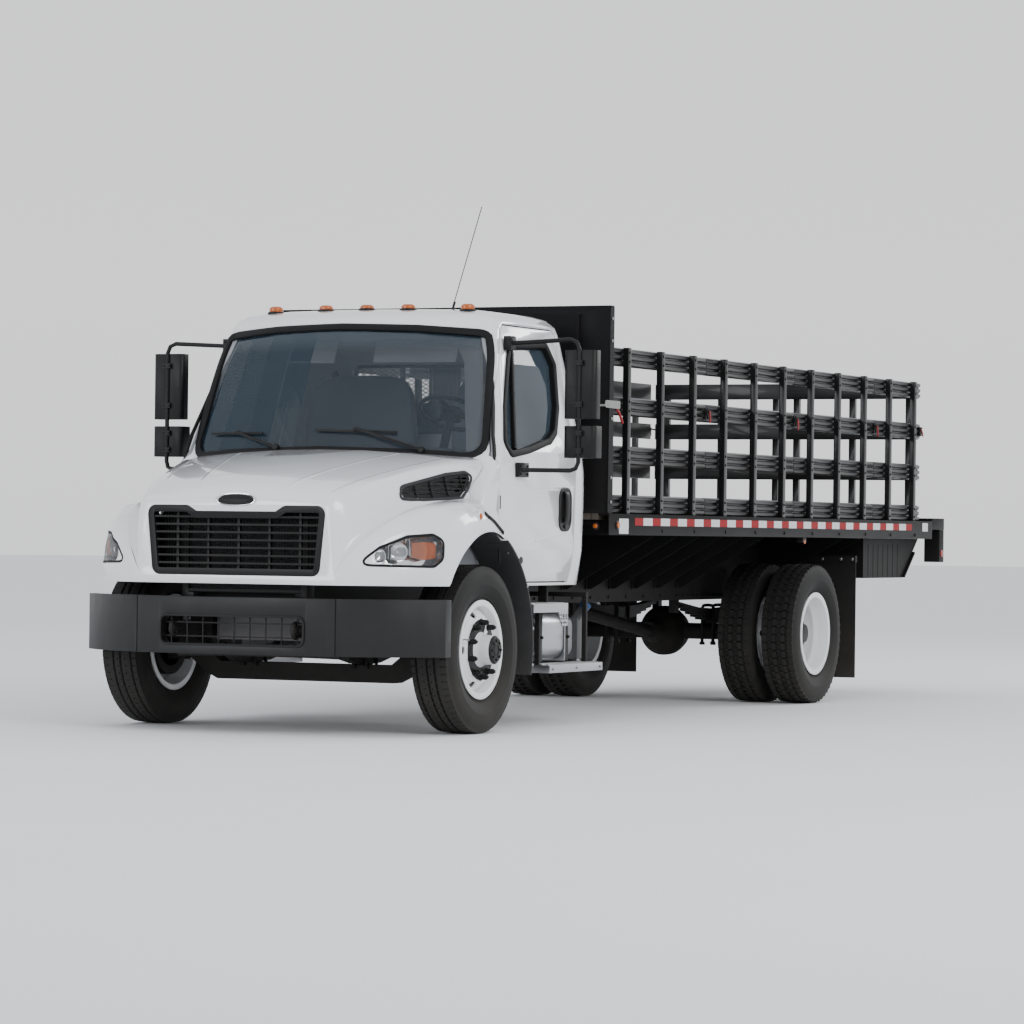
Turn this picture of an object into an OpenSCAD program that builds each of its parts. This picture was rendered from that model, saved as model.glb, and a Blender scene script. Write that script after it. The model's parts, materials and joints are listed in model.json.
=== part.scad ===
// Stake-bed truck with a two-seat cab, tilting hood, single front and twin rear wheels.
// Millimetres. X points forward, Y to the driver's side, Z up. Every module below is drawn with
// X = 0 at the front axle, and on_ground() moves it so that the origin is on the ground at the
// middle of the truck.

/* [Chassis] */
// Distance between the front and rear axle
wheelbase = 5700; // [5400:50:6000]
// Bumper face ahead of the front axle
front_reach = 1040; // [1030:5:1080]
// Tail end behind the rear axle
rear_reach = 2856; // [2700:10:3000]
// Outer faces of the two frame rails, from the centre
rail_y = 430; // [420:5:440]
// Height of the top of the frame rails
rail_top = 1010; // [1000:5:1020]
// Depth of a frame rail
rail_h = 254; // [230:2:270]
// Width of a rail's flange
rail_flange = 80; // [70:2:90]
// Thickness of a rail's web and flanges
rail_t = 9; // [7:0.5:11]

/* [Wheels] */
// Outside radius of a tyre
tyre_r = 515; // [500:5:525]
// Width of a tyre
tyre_w = 278; // [260:2:284]
// Radius of the rim where the tyre's bead sits
rim_r = 286; // [280:2:300]
// Height of the rim flange over the bead seat
rim_lip = 18; // [12:1:22]
// Width of a rim
rim_w = 210; // [200:2:220]
// Middle of a front tyre, from the centre
front_tyre_y = 1075; // [1065:1:1085]
// Middle of an outer rear tyre, from the centre
rear_tyre_y = 1095; // [1085:1:1100]
// Distance between the tyres of a rear pair
dual_pitch = 343; // [330:1:350]
// Kingpin, from the centre
kingpin_y = 905; // [890:5:915]
// Radius of the wheel arch's lip round the front wheel
arch_r = 656; // [650:2:670]
// Inner radius of the plate behind the front wheel
plate_r = 730; // [720:2:736]
// Radius of a brake drum
drum_r = 205; // [190:5:215]

/* [Cab] */
// Half width of the cab at its widest
cab_half = 1140; // [1130:2:1150]
// Bottom of the cab
cab_floor = 900; // [880:5:910]
// Belt line, where the windscreen starts
belt_z = 1700; // [1690:5:1710]
// Top of the roof
roof_z = 2650; // [2630:5:2680]
// Firewall behind the front axle
firewall_x = -115; // [-120:1:-110]
// Back of the cab behind the front axle
cab_back = -1670; // [-1690:5:-1650]
// Thickness of the cab's walls and doors
cab_wall = 60; // [50:2:70]
// Thickness of the window glass
glass_t = 6; // [4:1:8]
// Front edge of a door
door_front = -336; // [-342:1:-330]
// Rear edge of a door at the belt line
door_rear = -1480; // [-1490:5:-1470]
// Bottom edge of a door
door_bottom = 925; // [920:1:935]
// Top edge of a door
door_top = 2540; // [2520:5:2550]
// Gap between a door and the cab
door_gap = 8; // [6:1:10]

/* [Hood] */
// Front face of the hood ahead of the front axle
hood_nose = 968; // [960:2:975]
// Lower edge of the hood
hood_low = 905; // [900:1:915]
// Outer side of the fenders, from the centre
fender_y = 1222; // [1216:1:1230]
// Thickness of the hood and fenders
hood_wall = 24; // [18:1:30]
// Gap between the hood and the cab
hood_gap = 10; // [6:1:14]
// Number of bars in the grille
grille_bars = 7; // [5:1:9]
// Height of one grille bar
grille_bar_h = 12; // [8:1:16]
// Depth of the grille
grille_depth = 60; // [50:2:70]

/* [Bumper] */
// Half width of the bumper
bumper_half = 1235; // [1225:5:1245]
// Lower edge of the bumper
bumper_low = 480; // [470:5:500]
// Height of the bumper
bumper_h = 345; // [330:5:350]
// Thickness of the bumper from front to back
bumper_t = 80; // [70:5:90]

/* [Bed] */
// Half width of the bed
bed_half = 1219; // [1210:1:1225]
// Top of the deck
deck_z = 1365; // [1355:5:1375]
// Thickness of the deck
deck_t = 40; // [30:2:50]
// Front of the bed behind the front axle
bed_front = -1850; // [-1870:5:-1830]
// Length of the tail sill behind the side rails
tail_len = 290; // [260:5:320]
// Height of a side rail
side_rail_h = 140; // [130:5:150]
// Width of a side rail's flange
side_rail_w = 80; // [70:2:90]
// Top of the headboard
headboard_z = 2725; // [2700:5:2750]
// Thickness of the headboard
headboard_t = 60; // [50:5:70]
// Number of cross members under the deck
cross_count = 16; // [12:1:20]

/* [Racks] */
// Stakes on each side
stake_count = 11; // [9:1:11]
// Last stake ahead of the rear end of the racks
last_stake = 218; // [200:1:240]
// First stake behind the bed's front
first_stake = 328; // [300:2:340]
// Size of a stake along the bed
stake_w = 50; // [44:1:56]
// Size of a stake across the bed
stake_t = 38; // [32:1:42]
// Number of slats, one over another
slat_count = 4; // [3:1:5]
// Height of a slat
slat_h = 125; // [110:1:140]
// Distance from one slat to the next
slat_pitch = 324; // [300:1:340]
// Thickness of a slat
slat_t = 25; // [20:1:30]

/* [Mirrors] */
// Outer edge of a mirror, from the centre
mirror_y = 1590; // [1580:2:1600]
// Width of a mirror
mirror_w = 220; // [200:5:230]
// Height of the big mirror
mirror_h = 430; // [400:5:450]
// Radius of the mirror's tube
mirror_tube = 14; // [11:1:16]

/* [Hidden] */

// A long way, for cuts that go right through
far = 4000;
// Seat clearance between pieces that are fixed to each other
seat_gap = 0.3;
tail_x = -wheelbase - rear_reach;
shift_x = (-tail_x - front_reach) / 2;
rail_low = rail_top - rail_h;
side_rail_low = deck_z - side_rail_h;
side_rail_end = tail_x + tail_len;
rear_inner_y = rear_tyre_y - dual_pitch;
dual_mid_y = rear_tyre_y - dual_pitch / 2;

module on_ground() {
    translate([shift_x, 0, 0])
        children();
}

// Child at the left side and its mirror image at the right
module both_sides() {
    children();
    mirror([0, 1, 0])
        children();
}

// Extrudes an outline drawn in X and Z along Y, from y0 to y1
module along_y(y0, y1) {
    translate([0, y1, 0])
        rotate([90, 0, 0])
            linear_extrude(height = y1 - y0)
                children();
}

// Extrudes an outline drawn in Y and Z along X, from x0 to x1
module along_x(x0, x1) {
    translate([x0, 0, 0])
        rotate([90, 0, 90])
            linear_extrude(height = x1 - x0)
                children();
}

// Box from its lowest to its highest corner
module box(low, high) {
    translate(low)
        cube(high - low);
}

// Round bar from one point to another
module bar(a, b, r) {
    d = b - a;
    length = norm(d);
    translate(a)
        rotate([0, acos(d[2] / length), atan2(d[1], d[0])])
            cylinder(r = r, h = length, $fn = 24);
}

// Round bar with ball joints through a list of points
module bent_bar(points, r) {
    for (i = [0 : len(points) - 2])
        bar(points[i], points[i + 1], r);
    for (i = [1 : len(points) - 2])
        translate(points[i])
            sphere(r = r, $fn = 24);
}

// Closed skin over a list of rings that have the same number of points
module loft(rings) {
    n = len(rings[0]);
    rows = len(rings);
    points = [for (ring = rings) each ring];
    sides = [for (i = [0 : rows - 2], j = [0 : n - 1])
        let (k = (j + 1) % n)
        each [[i * n + j, i * n + k, (i + 1) * n + k], [i * n + j, (i + 1) * n + k, (i + 1) * n + j]]];
    bottom = [for (j = [n - 1 : -1 : 0]) j];
    top = [for (j = [0 : n - 1]) (rows - 1) * n + j];
    polyhedron(points = points, faces = concat(sides, [bottom, top]));
}

// Ring of a bent tube at one point of its path, square to the direction
function tube_ring(point, direction, r) =
    let (
        n = direction / norm(direction),
        across = cross(n, [1, 0, 0]),
        u = across / norm(across),
        v = cross(n, u)
    ) [for (i = [0 : 11]) point + r * (cos(30 * i) * u - sin(30 * i) * v)];

// Bent tube through a list of points
module tube(points, r) {
    last = len(points) - 1;
    loft([for (i = [0 : last])
        tube_ring(points[i], points[min(i + 1, last)] - points[max(i - 1, 0)], r)]);
}

// Cab body

// One row for each level of the cab:
// height, front at the centre, bow of the front, front corner, inset of the side, back
cab_levels = [
    [cab_floor,     firewall_x,       2,   24,  34, cab_back + 24],
    [1120,          firewall_x + 10,  2,   24,  6,  cab_back + 8],
    [1370,          firewall_x + 40,  2,   24,  1,  cab_back + 2],
    [1500,          firewall_x + 30,  45,  26,  0,  cab_back],
    [belt_z - 70,   firewall_x + 20,  190, 44,  2,  cab_back],
    [belt_z + 40,   -105,             250, 88,  16, cab_back],
    [roof_z - 650,  -190,             250, 82,  75, cab_back],
    [roof_z - 350,  -288,             250, 74,  140, cab_back + 4],
    [roof_z - 150,  -366,             245, 66,  186, cab_back + 14],
    [roof_z - 85,   -420,             222, 70,  206, cab_back + 34],
    [roof_z - 42,   -500,             190, 80,  250, cab_back + 74],
    [roof_z - 16,   -610,             150, 100, 330, cab_back + 130],
    [roof_z,        -740,             100, 120, 460, cab_back + 230]
];

// Half of one level's outline, from the front centre round to the back
function cab_half_ring(level, inset) =
    let (
        x_mid = level[1] - inset,
        bow = level[2],
        round_front = level[3],
        half = cab_half - level[4] - inset,
        x_back = level[5] + inset,
        y_front = half - round_front,
        round_back = 70,
        front = [for (i = [0 : 5]) let (y = y_front * i / 5) [x_mid - bow * pow(y / y_front, 2), y]],
        corner = [for (i = [1 : 3]) let (a = 30 * i)
            [x_mid - bow - round_front * (1 - cos(a)), y_front + round_front * sin(a)]],
        back = [for (i = [0 : 3]) let (a = 30 * i)
            [x_back + round_back * (1 - sin(a)), half - round_back * (1 - cos(a))]]
    ) concat(front, corner, back);

function cab_ring(level, inset, z) =
    let (half = cab_half_ring(level, inset), n = len(half))
    concat(
        [for (p = half) [p[0], -p[1], z]],
        [for (i = [n - 1 : -1 : 1]) [half[i][0], half[i][1], z]]
    );

// The cab's outer form, moved inwards by inset
module cab_form(inset) {
    rows = len(cab_levels);
    loft([for (i = [0 : rows - 1])
        let (
            level = cab_levels[i],
            middle = (cab_floor + roof_z) / 2,
            z = i == 0 ? level[0] + inset : i > rows - 6 ? level[0] - inset : level[0]
        ) cab_ring(level, inset, z)]);
}

// Skin of the cab between two depths
module cab_skin(outer, inner) {
    difference() {
        cab_form(outer);
        cab_form(inner);
    }
}

// Outline of a door seen from the side, X forward and Z up. The opening's upper rear edge lies
// further back by sweep, where the door's inner edge swings past it.
module door_outline(sweep) {
    difference() {
        polygon([
            [door_front, door_bottom],
            [door_front, 1500],
            [door_front - 8, belt_z],
            [door_front - 38, belt_z + 138],
            [door_front - 183, belt_z + 447],
            [door_front - 339, door_top - 114],
            [door_front - 380, door_top - 40],
            [door_front - 430, door_top],
            [door_rear - 20 - sweep, door_top],
            [door_rear - 52 - sweep, door_top - 25],
            [door_rear - 62 - sweep, door_top - 90],
            [door_rear - 30 - 0.7 * sweep, belt_z + 330],
            [door_rear - 0.2 * sweep, 1540],
            [door_rear + 17, 1000],
            [door_rear + 45, door_bottom]
        ]);
        translate([well_x, well_z])
            circle(r = well_r + housing_t + door_gap + 2, $fn = 96);
    }
}

// Outline of a door's window
module window_outline(grow) {
    offset(r = 44 + grow, $fn = 24)
        offset(delta = -44)
            polygon([
                [door_front - 129, belt_z + 87],
                [door_front - 216, belt_z + 313],
                [door_front - 405, belt_z + 627],
                [door_front - 470, door_top - 124],
                [door_front - 557, door_top - 112],
                [door_rear + 115, door_top - 96],
                [door_rear + 39, door_top - 217],
                [door_rear + 116, belt_z + 340],
                [door_rear + 225, belt_z + 176],
                [door_rear + 336, belt_z + 118],
                [door_front - 465, belt_z + 54],
                [door_front - 195, belt_z + 21]
            ]);
}

// Outline of the windscreen seen from the front, Y and Z
module windscreen_outline(grow) {
    offset(r = 110 + grow, $fn = 24)
        offset(delta = -110)
            polygon([
                [-1028, belt_z],
                [-700, belt_z + 22],
                [0, belt_z + 40],
                [700, belt_z + 22],
                [1028, belt_z],
                [942, roof_z - 172],
                [500, roof_z - 142],
                [0, roof_z - 130],
                [-500, roof_z - 142],
                [-942, roof_z - 172]
            ]);
}

rear_window_half = 560;
rear_window_z = 2106;

module rear_window_outline(grow) {
    offset(r = 60 + grow, $fn = 24)
        square([2 * rear_window_half - 120, 340], center = true);
}

// Both windows of the cab itself, cut along X
module screens(grow) {
    intersection() {
        along_x(-1000, far)
            windscreen_outline(grow);
        // Line of the front pillars
        along_y(-far, far)
            polygon([[-345, belt_z - 50], [-630, roof_z - 110], [far, roof_z - 110], [far, belt_z - 50]]);
    }
    translate([0, 0, rear_window_z])
        along_x(-far, -1000)
            rear_window_outline(grow);
}

// Space that a door takes in the left wall, down to the wall's inner face
module door_space(grow, sweep) {
    intersection() {
        along_y(0, far)
            offset(delta = grow)
                door_outline(sweep);
        along_x(-far, far)
            polygon(concat(
                [for (i = [0 : len(cab_levels) - 3]) [cab_half - cab_wall - cab_levels[i][4] - grow, cab_levels[i][0]]],
                [[far, roof_z], [far, cab_floor]]
            ));
    }
}

// Housing of the front wheel in the cab's floor and the room under the floor
well_x = -20;
well_z = 530;
plate_t = 14;
well_r = plate_r + plate_t + seat_gap;
well_y = 880;
housing_t = 40;
floor_top = 1090;
floor_low = 1030;
under_half = 960;

// Disc round the centre of the wheel housing, from y0 outwards
module well_disc(r, y0) {
    translate([well_x, y0, well_z])
        rotate([-90, 0, 0])
            cylinder(r = r, h = 400, $fn = 96);
}

module cab_shell() {
    color("white")
        on_ground()
            difference() {
                cab_form(0);
                // Room inside, less the wheel housings
                difference() {
                    intersection() {
                        cab_form(cab_wall);
                        box([-far, -far, floor_top], [far, far, far]);
                    }
                    both_sides()
                        well_disc(well_r + housing_t, well_y - housing_t);
                }
                box([-far, -under_half, 0], [far, under_half, floor_low]);
                both_sides() {
                    well_disc(well_r, well_y);
                    door_space(door_gap, 10);
                }
                screens(0);
            }
}

module cab_glass() {
    color([0.5, 0.6, 0.7, 0.4])
        on_ground()
            intersection() {
                cab_skin(10, 10 + glass_t);
                screens(-seat_gap);
            }
}

module door_panel() {
    difference() {
        intersection() {
            cab_form(0);
            door_space(0, 0);
        }
        along_y(0, far)
            window_outline(0);
        // Recess of the handle
        along_y(cab_half - 22, far)
            offset(r = 20, $fn = 24)
                translate([door_rear + 178, 1385])
                    square([14, 240], center = true);
    }
}

module door_pane() {
    intersection() {
        cab_skin(26, 26 + glass_t);
        along_y(0, far)
            window_outline(-seat_gap);
    }
}

module door_left() {
    color("white")
        on_ground()
            door_panel();
}

module door_right() {
    color("white")
        on_ground()
            mirror([0, 1, 0])
                door_panel();
}

module door_glass_left() {
    color([0.5, 0.6, 0.7, 0.4])
        on_ground()
            door_pane();
}

module door_glass_right() {
    color([0.5, 0.6, 0.7, 0.4])
        on_ground()
            mirror([0, 1, 0])
                door_pane();
}

// Mirrors on the doors

mirror_mid_y = mirror_y - mirror_w / 2;
tube_y = mirror_mid_y;
tube_x = -760;
mirror_top_z = 2445;
mirror_foot_z = 1625;

// Rounded housing of a mirror, between two heights
module mirror_case(z0, z1, depth) {
    translate([tube_x - 4 - depth / 2, mirror_mid_y, z0])
        linear_extrude(height = z1 - z0)
            offset(r = 30, $fn = 24)
                square([depth - 60, mirror_w - 60], center = true);
}

module mirror_pair() {
    // Tube from the upper bracket round to the lower one
    tube([
        [-738, 1020, mirror_top_z - 20],
        [tube_x, tube_y - 60, mirror_top_z],
        [tube_x, tube_y - 18, mirror_top_z - 18],
        [tube_x, tube_y, mirror_top_z - 60],
        [tube_x, tube_y, mirror_foot_z + 50],
        [tube_x + 6, tube_y - 14, mirror_foot_z + 12],
        [-738, tube_y - 45, mirror_foot_z],
        [-600, cab_half + 10, mirror_foot_z]
    ], mirror_tube);
    box([-775, 983, 2380], [-700, 1035, 2470]);
    box([-700, cab_half + 0.3, mirror_foot_z - 45], [-560, cab_half + 30, mirror_foot_z + 45]);
    mirror_case(2380 - mirror_h, 2380, 100);
    mirror_case(1705, 1905, 130);
}

module mirror_left() {
    color([0.08, 0.08, 0.08])
        on_ground()
            mirror_pair();
}

module mirror_right() {
    color([0.08, 0.08, 0.08])
        on_ground()
            mirror([0, 1, 0])
                mirror_pair();
}

// Hood and fenders

// One row for each station of the hood, from the cab forward:
// place, centre height, shoulder y and z, valley y and z, fender crest y and z, fender side y
hood_stations = [
    [-460, 1762, 985,  1706, 1108, 1440, 1150, 1400, 1170],
    [-330, 1756, 965,  1704, 1098, 1440, 1146, 1405, 1180],
    [-100, 1740, 900,  1682, 1035, 1430, 1105, 1420, 1214],
    [200,  1690, 815,  1632, 940,  1402, 1035, 1422, fender_y],
    [450,  1636, 750,  1580, 868,  1350, 985,  1388, fender_y - 22],
    [640,  1587, 704,  1534, 815,  1280, 925,  1318, fender_y - 100],
    [780,  1544, 672,  1494, 772,  1210, 862,  1238, fender_y - 226],
    [880,  1500, 644,  1458, 732,  1128, 790,  1150, fender_y - 364],
    [940,  1462, 626,  1428, 694,  1040, 722,  1060, fender_y - 470],
    [hood_nose, 1412, 612, 1384, 660, 985, 672, 955, fender_y - 540]
];
cove = 50;
hood_deep = 120;

// Half of one station's outline from the centre line to the outer side
function hood_half(row, inset) =
    let (
        zc = row[1] - inset,
        ys = row[2] - inset,
        zs = row[3] - inset,
        yv = row[4] - inset,
        zv = row[5] - inset,
        yf = row[6] - inset,
        zf = row[7] - inset,
        yo = row[8] - inset,
        low = hood_low - hood_deep,
        crown = [for (i = [0 : 3]) [ys * i / 3, zc - (zc - zs) * pow(i / 3, 2)]],
        shoulder = [for (i = [1 : 4]) let (a = 22.5 * i)
            [ys + (yv - ys) * pow(sin(a), 0.8), zv + cove + (zs - zv - cove) * pow(cos(a), 0.8)]],
        valley = [
            [yv + 0.3 * (yf - yv), zv + 0.3 * cove],
            [yv + 0.65 * (yf - yv), (zv + zf) / 2],
            [yf, zf]
        ],
        side = [for (i = [1 : 6]) let (a = 15 * i)
            [yf + (yo - yf) * pow(sin(a), 0.66), low + (zf - low) * pow(cos(a), 0.66)]]
    ) concat(crown, shoulder, valley, side);

// The hood's outer form, moved inwards by inset
module hood_form(inset) {
    rows = len(hood_stations);
    loft([for (i = [0 : rows - 1])
        let (
            row = hood_stations[i],
            x = i == rows - 1 ? row[0] - inset : row[0],
            half = hood_half(row, inset)
        ) concat(
            [for (p = half) [x, p[0], p[1]]],
            [for (j = [len(half) - 1 : -1 : 1]) [x, -half[j][0], half[j][1]]]
        )]);
}

arch_x = -107;
arch_z = 580;

// What the hood keeps, seen from the side: its rear edge runs from the fender's tip up to the
// corner of the windscreen
module hood_side_view() {
    polygon([
        [far, far],
        [far, hood_low],
        [0, hood_low],
        [-345, 1100],
        [-351, 1190],
        [-348, 1229],
        [-60, 1352],
        [-60, 1370],
        [-117, 1500],
        [-275, 1640],
        [-345, 1700],
        [-345, far]
    ]);
}

lamp_turn = 45;

// Space of a headlamp behind the skin, along the lamp's own direction
module lamp_space(grow) {
    rotate([0, 0, lamp_turn])
        along_x(500, far)
            offset(r = 45 + grow, $fn = 24)
                offset(delta = -45)
                    polygon([[-70, 1035], [60, 1130], [230, 1195], [400, 1208], [470, 1175], [462, 1070], [400, 1028]]);
}

// Side view of a vent in the hood's side
module vent_outline(grow) {
    offset(r = 30 + grow, $fn = 24)
        offset(delta = -30)
            polygon([[600, 1438], [420, 1500], [60, 1576], [-95, 1592], [-135, 1570], [-85, 1490], [-20, 1450], [300, 1432]]);
}

grille_top = 1378;
grille_low = 955;

// Outline of the grille seen from the front, Y and Z, with a notch under the hood's badge
module grille_outline(grow) {
    offset(r = 55 + grow, $fn = 32)
        offset(delta = -55)
            polygon([
                [-572, grille_low],
                [572, grille_low],
                [614, grille_top],
                [330, grille_top],
                [270, grille_top - 36],
                [-270, grille_top - 36],
                [-330, grille_top],
                [-614, grille_top]
            ]);
}

module hood() {
    color("white")
        on_ground()
            difference() {
                intersection() {
                    difference() {
                        hood_form(0);
                        hood_form(hood_wall);
                    }
                    along_y(-far, far)
                        hood_side_view();
                }
                cab_form(-hood_gap);
                both_sides() {
                    translate([arch_x, 600, arch_z])
                        rotate([-90, 0, 0])
                            cylinder(r = arch_r, h = 900, $fn = 96);
                    lamp_space(0);
                    along_y(0, far)
                        vent_outline(0);
                }
                along_x(600, far)
                    grille_outline(0);
            }
}

module grille() {
    color([0.1, 0.1, 0.11])
        on_ground()
            intersection() {
                along_x(hood_nose - grille_depth, hood_nose)
                    grille_outline(-seat_gap);
                union() {
                    along_x(hood_nose - grille_depth - 1, hood_nose + 1)
                        difference() {
                            grille_outline(5);
                            grille_outline(-42);
                        }
                    for (i = [1 : grille_bars])
                        let (z = grille_low + 20 + i * (grille_top - 50 - grille_low) / (grille_bars + 1))
                            box([hood_nose - grille_depth, -650, z], [hood_nose - 8, 650, z + grille_bar_h]);
                    for (y = [-420, -210, 0, 210, 420])
                        box([hood_nose - grille_depth, y - 8, grille_low], [hood_nose - grille_depth + 20, y + 8, grille_top]);
                }
            }
}

lamp_depth = 90;

module headlamps() {
    color([0.85, 0.88, 0.9])
        on_ground()
            intersection() {
                difference() {
                    hood_form(2);
                    hood_form(lamp_depth);
                }
                both_sides()
                    lamp_space(-seat_gap);
            }
}

module hood_vents() {
    color([0.08, 0.08, 0.08])
        on_ground()
            difference() {
                intersection() {
                    difference() {
                        hood_form(2);
                        hood_form(hood_wall + 8);
                    }
                    both_sides()
                        along_y(0, far)
                            vent_outline(-seat_gap);
                }
                for (i = [0 : 4])
                    along_y(-far, far)
                        intersection() {
                            vent_outline(-22);
                            translate([-300, 1452 + 26 * i])
                                square([820, 14]);
                        }
            }
}

// Plates behind the front wheels, one half of an arch each

module plate_arc(y0, y1) {
    translate([well_x, y0, well_z])
        rotate([-90, 0, 0])
            difference() {
                cylinder(r = plate_r + plate_t, h = y1 - y0, $fn = 96);
                translate([0, 0, -1])
                    cylinder(r = plate_r, h = y1 - y0 + 2, $fn = 96);
            }
}

module quarter_fenders() {
    plate_in = 900;
    color([0.25, 0.26, 0.27])
        on_ground()
            both_sides() {
                intersection() {
                    plate_arc(plate_in, fender_y - 34);
                    box([-far, 0, 340], [-372, far, far]);
                }
                // Narrower where the hood's fender reaches over it
                intersection() {
                    plate_arc(plate_in, fender_y - 82);
                    box([-373, 0, 900], [-140, far, far]);
                }
            }
}

// Bumper

// Place of the bumper's face at a distance y from the centre
function bumper_face(y) = front_reach - 0.00012 * pow(y, 2) - 0.00000000011 * pow(y, 4);

module bumper() {
    steps = 12;
    front = [for (i = [-steps : steps]) let (y = bumper_half * i / steps) [bumper_face(y), y]];
    back = [for (i = [steps : -1 : -steps]) let (y = bumper_half * i / steps) [bumper_face(y) - bumper_t, y]];
    color([0.12, 0.12, 0.13])
        on_ground()
            difference() {
                translate([0, 0, bumper_low])
                    linear_extrude(height = bumper_h)
                        polygon(concat(front, back));
                // Opening for air and the tow hooks
                along_x(600, far)
                    translate([0, bumper_low + 145])
                        offset(r = 50, $fn = 32)
                            square([880, 75], center = true);
                // Seams between the middle and the end pieces
                both_sides()
                    box([bumper_face(680) - 8, 677, 0], [far, 683, far]);
            }
}

// Frame, axles and springs

rail_front = 745;
rail_end = tail_x + 150;
bracket_h = 60;
tow_x = 930;
tow_eye_r = 20;
tow_eye_t = 25;
tow_z = bumper_low + 150;

// One frame rail, a channel that opens towards the centre
module rail() {
    along_x(rail_end, rail_front)
        translate([rail_y - rail_flange, rail_low])
            difference() {
                square([rail_flange, rail_h]);
                translate([-1, rail_t])
                    square([rail_flange - rail_t + 1, rail_h - 2 * rail_t]);
            }
}

cross_places = [700, -1960, -3200, -4500, -5250, -6150, -7400];

module frame_rails() {
    color([0.1, 0.1, 0.1])
        on_ground() {
            union() {
                both_sides() {
                    rail();
                    // Bracket of the bumper and the tow eye
                    difference() {
                        union() {
                            box([rail_front - 120, rail_y - tow_eye_t, tow_z - 60], [rail_front, rail_y, rail_low + 20]);
                            box([rail_front - 120, rail_y - tow_eye_t, tow_z - 45], [tow_x, rail_y, tow_z + 45]);
                            translate([tow_x, rail_y - tow_eye_t, tow_z])
                                rotate([-90, 0, 0])
                                    cylinder(r = 45, h = tow_eye_t, $fn = 48);
                        }
                        translate([tow_x, rail_y - tow_eye_t - 1, tow_z])
                            rotate([-90, 0, 0])
                                cylinder(r = tow_eye_r, h = tow_eye_t + 2, $fn = 48);
                    }
                    box([rail_front - 1, rail_y - rail_flange, rail_low], [bumper_face(rail_y) - bumper_t - 0.8, rail_y, rail_low + bracket_h]);
                }
                for (x = cross_places)
                    box([x - 40, -rail_y + rail_t, rail_low + 30], [x + 40, rail_y - rail_t, rail_top - 30]);
            }
        }
}

spring_y = rail_y - rail_flange / 2;
beam_low = 295;
beam_h = 110;
beam_pad = beam_low + beam_h;

module front_axle() {
    color([0.12, 0.12, 0.12])
        on_ground() {
            // Dropped beam between the kingpins
            along_x(-60, 60)
                polygon([
                    [-840, tyre_r - 70], [-700, beam_low + 40], [-620, beam_low], [620, beam_low],
                    [700, beam_low + 40], [840, tyre_r - 70], [840, tyre_r + 50], [760, tyre_r + 20],
                    [600, beam_pad], [-600, beam_pad], [-760, tyre_r + 20], [-840, tyre_r + 50]
                ]);
            both_sides()
                translate([0, kingpin_y, tyre_r - 60])
                    difference() {
                        union() {
                            cylinder(r = 52, h = 120, $fn = 48);
                            box([-45, -90, 0], [45, 0, 120]);
                        }
                        translate([0, 0, -1])
                            cylinder(r = pin_bore_r, h = 122, $fn = 48);
                    }
        }
}

// Leaf pack seen from the side, with its ends raised
module leaf_pack(x0, half, seat_z, rise, leaves) {
    leaf = 14;
    thick = leaf + 0.8;
    for (i = [0 : leaves - 1])
        let (
            reach = half * (1 - 0.13 * i),
            low = seat_z + (leaves - 1 - i) * leaf,
            lift = rise * pow(reach / half, 2)
        )
            polygon([
                [x0 - reach, low + lift], [x0 - 0.5 * reach, low + 0.25 * lift], [x0, low],
                [x0 + 0.5 * reach, low + 0.25 * lift], [x0 + reach, low + lift],
                [x0 + reach, low + lift + thick], [x0 + 0.5 * reach, low + 0.25 * lift + thick], [x0, low + thick],
                [x0 - 0.5 * reach, low + 0.25 * lift + thick], [x0 - reach, low + lift + thick]
            ]);
}

axle_tube_r = 75;
// Running clearance of a spindle in its hub, and of the kingpin in the beam
running_gap = 0.08;
rear_hub_y = dual_mid_y - 20;
rear_bore_r = 45;
rear_spindle_r = rear_bore_r - running_gap;

module leaf_springs() {
    front_half = 600;
    rear_half = 760;
    front_rise = 160;
    rear_rise = 60;
    rear_seat = tyre_r + axle_tube_r + 10;
    color([0.15, 0.15, 0.15])
        on_ground()
            both_sides() {
                along_y(spring_y - 38, spring_y + 38)
                    union() {
                        leaf_pack(0, front_half, beam_pad + 0.3, front_rise, 5);
                        leaf_pack(-wheelbase, rear_half, rear_seat, rear_rise, 6);
                    }
                // Hangers at the spring ends
                for (end = [-1, 1]) {
                    box([end * (front_half - 25) - 35, spring_y - 38, beam_pad + front_rise],
                        [end * (front_half - 25) + 35, spring_y + 14, rail_low - seat_gap]);
                    box([-wheelbase + end * (rear_half - 25) - 35, spring_y - 38, rear_seat + rear_rise],
                        [-wheelbase + end * (rear_half - 25) + 35, spring_y + 14, rail_low - seat_gap]);
                }
                // Clamp blocks over the rear axle
                box([-wheelbase - 90, spring_y - 45, tyre_r + axle_tube_r - 14],
                    [-wheelbase + 90, spring_y + 45, rear_seat + 4]);
            }
}

module rear_axle() {
    color([0.12, 0.12, 0.12])
        on_ground()
            translate([-wheelbase, 0, tyre_r]) {
                translate([0, -rear_hub_y + 12, 0])
                    rotate([-90, 0, 0])
                        cylinder(r = axle_tube_r - 15, h = 2 * rear_hub_y - 24, $fn = 48);
                // Spindles in the hubs
                translate([0, -rear_hub_y - 100, 0])
                    rotate([-90, 0, 0])
                        cylinder(r = rear_spindle_r, h = 2 * rear_hub_y + 200, $fn = 48);
                // Differential housing with its round back and pinion nose
                rotate([0, 90, 0])
                    rotate_extrude($fn = 64)
                        polygon([[0, -170], [90, -160], [160, -110], [185, -20], [185, 40], [150, 110], [90, 190], [70, 330], [0, 330]]);
            }
}

shaft_z = 560;

module driveshaft() {
    color([0.2, 0.2, 0.2])
        on_ground() {
            bar([-wheelbase + 337, 0, tyre_r], [-3900, 0, 700], 45);
            bar([-3900, 0, 700], [-1902, 0, 740], 45);
            box([-3930, -rail_y + rail_t + 0.3, 820], [-3870, rail_y - rail_t - 0.3, 870]);
            box([-3930, -60, 640], [-3870, 60, 821]);
        }
}

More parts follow.
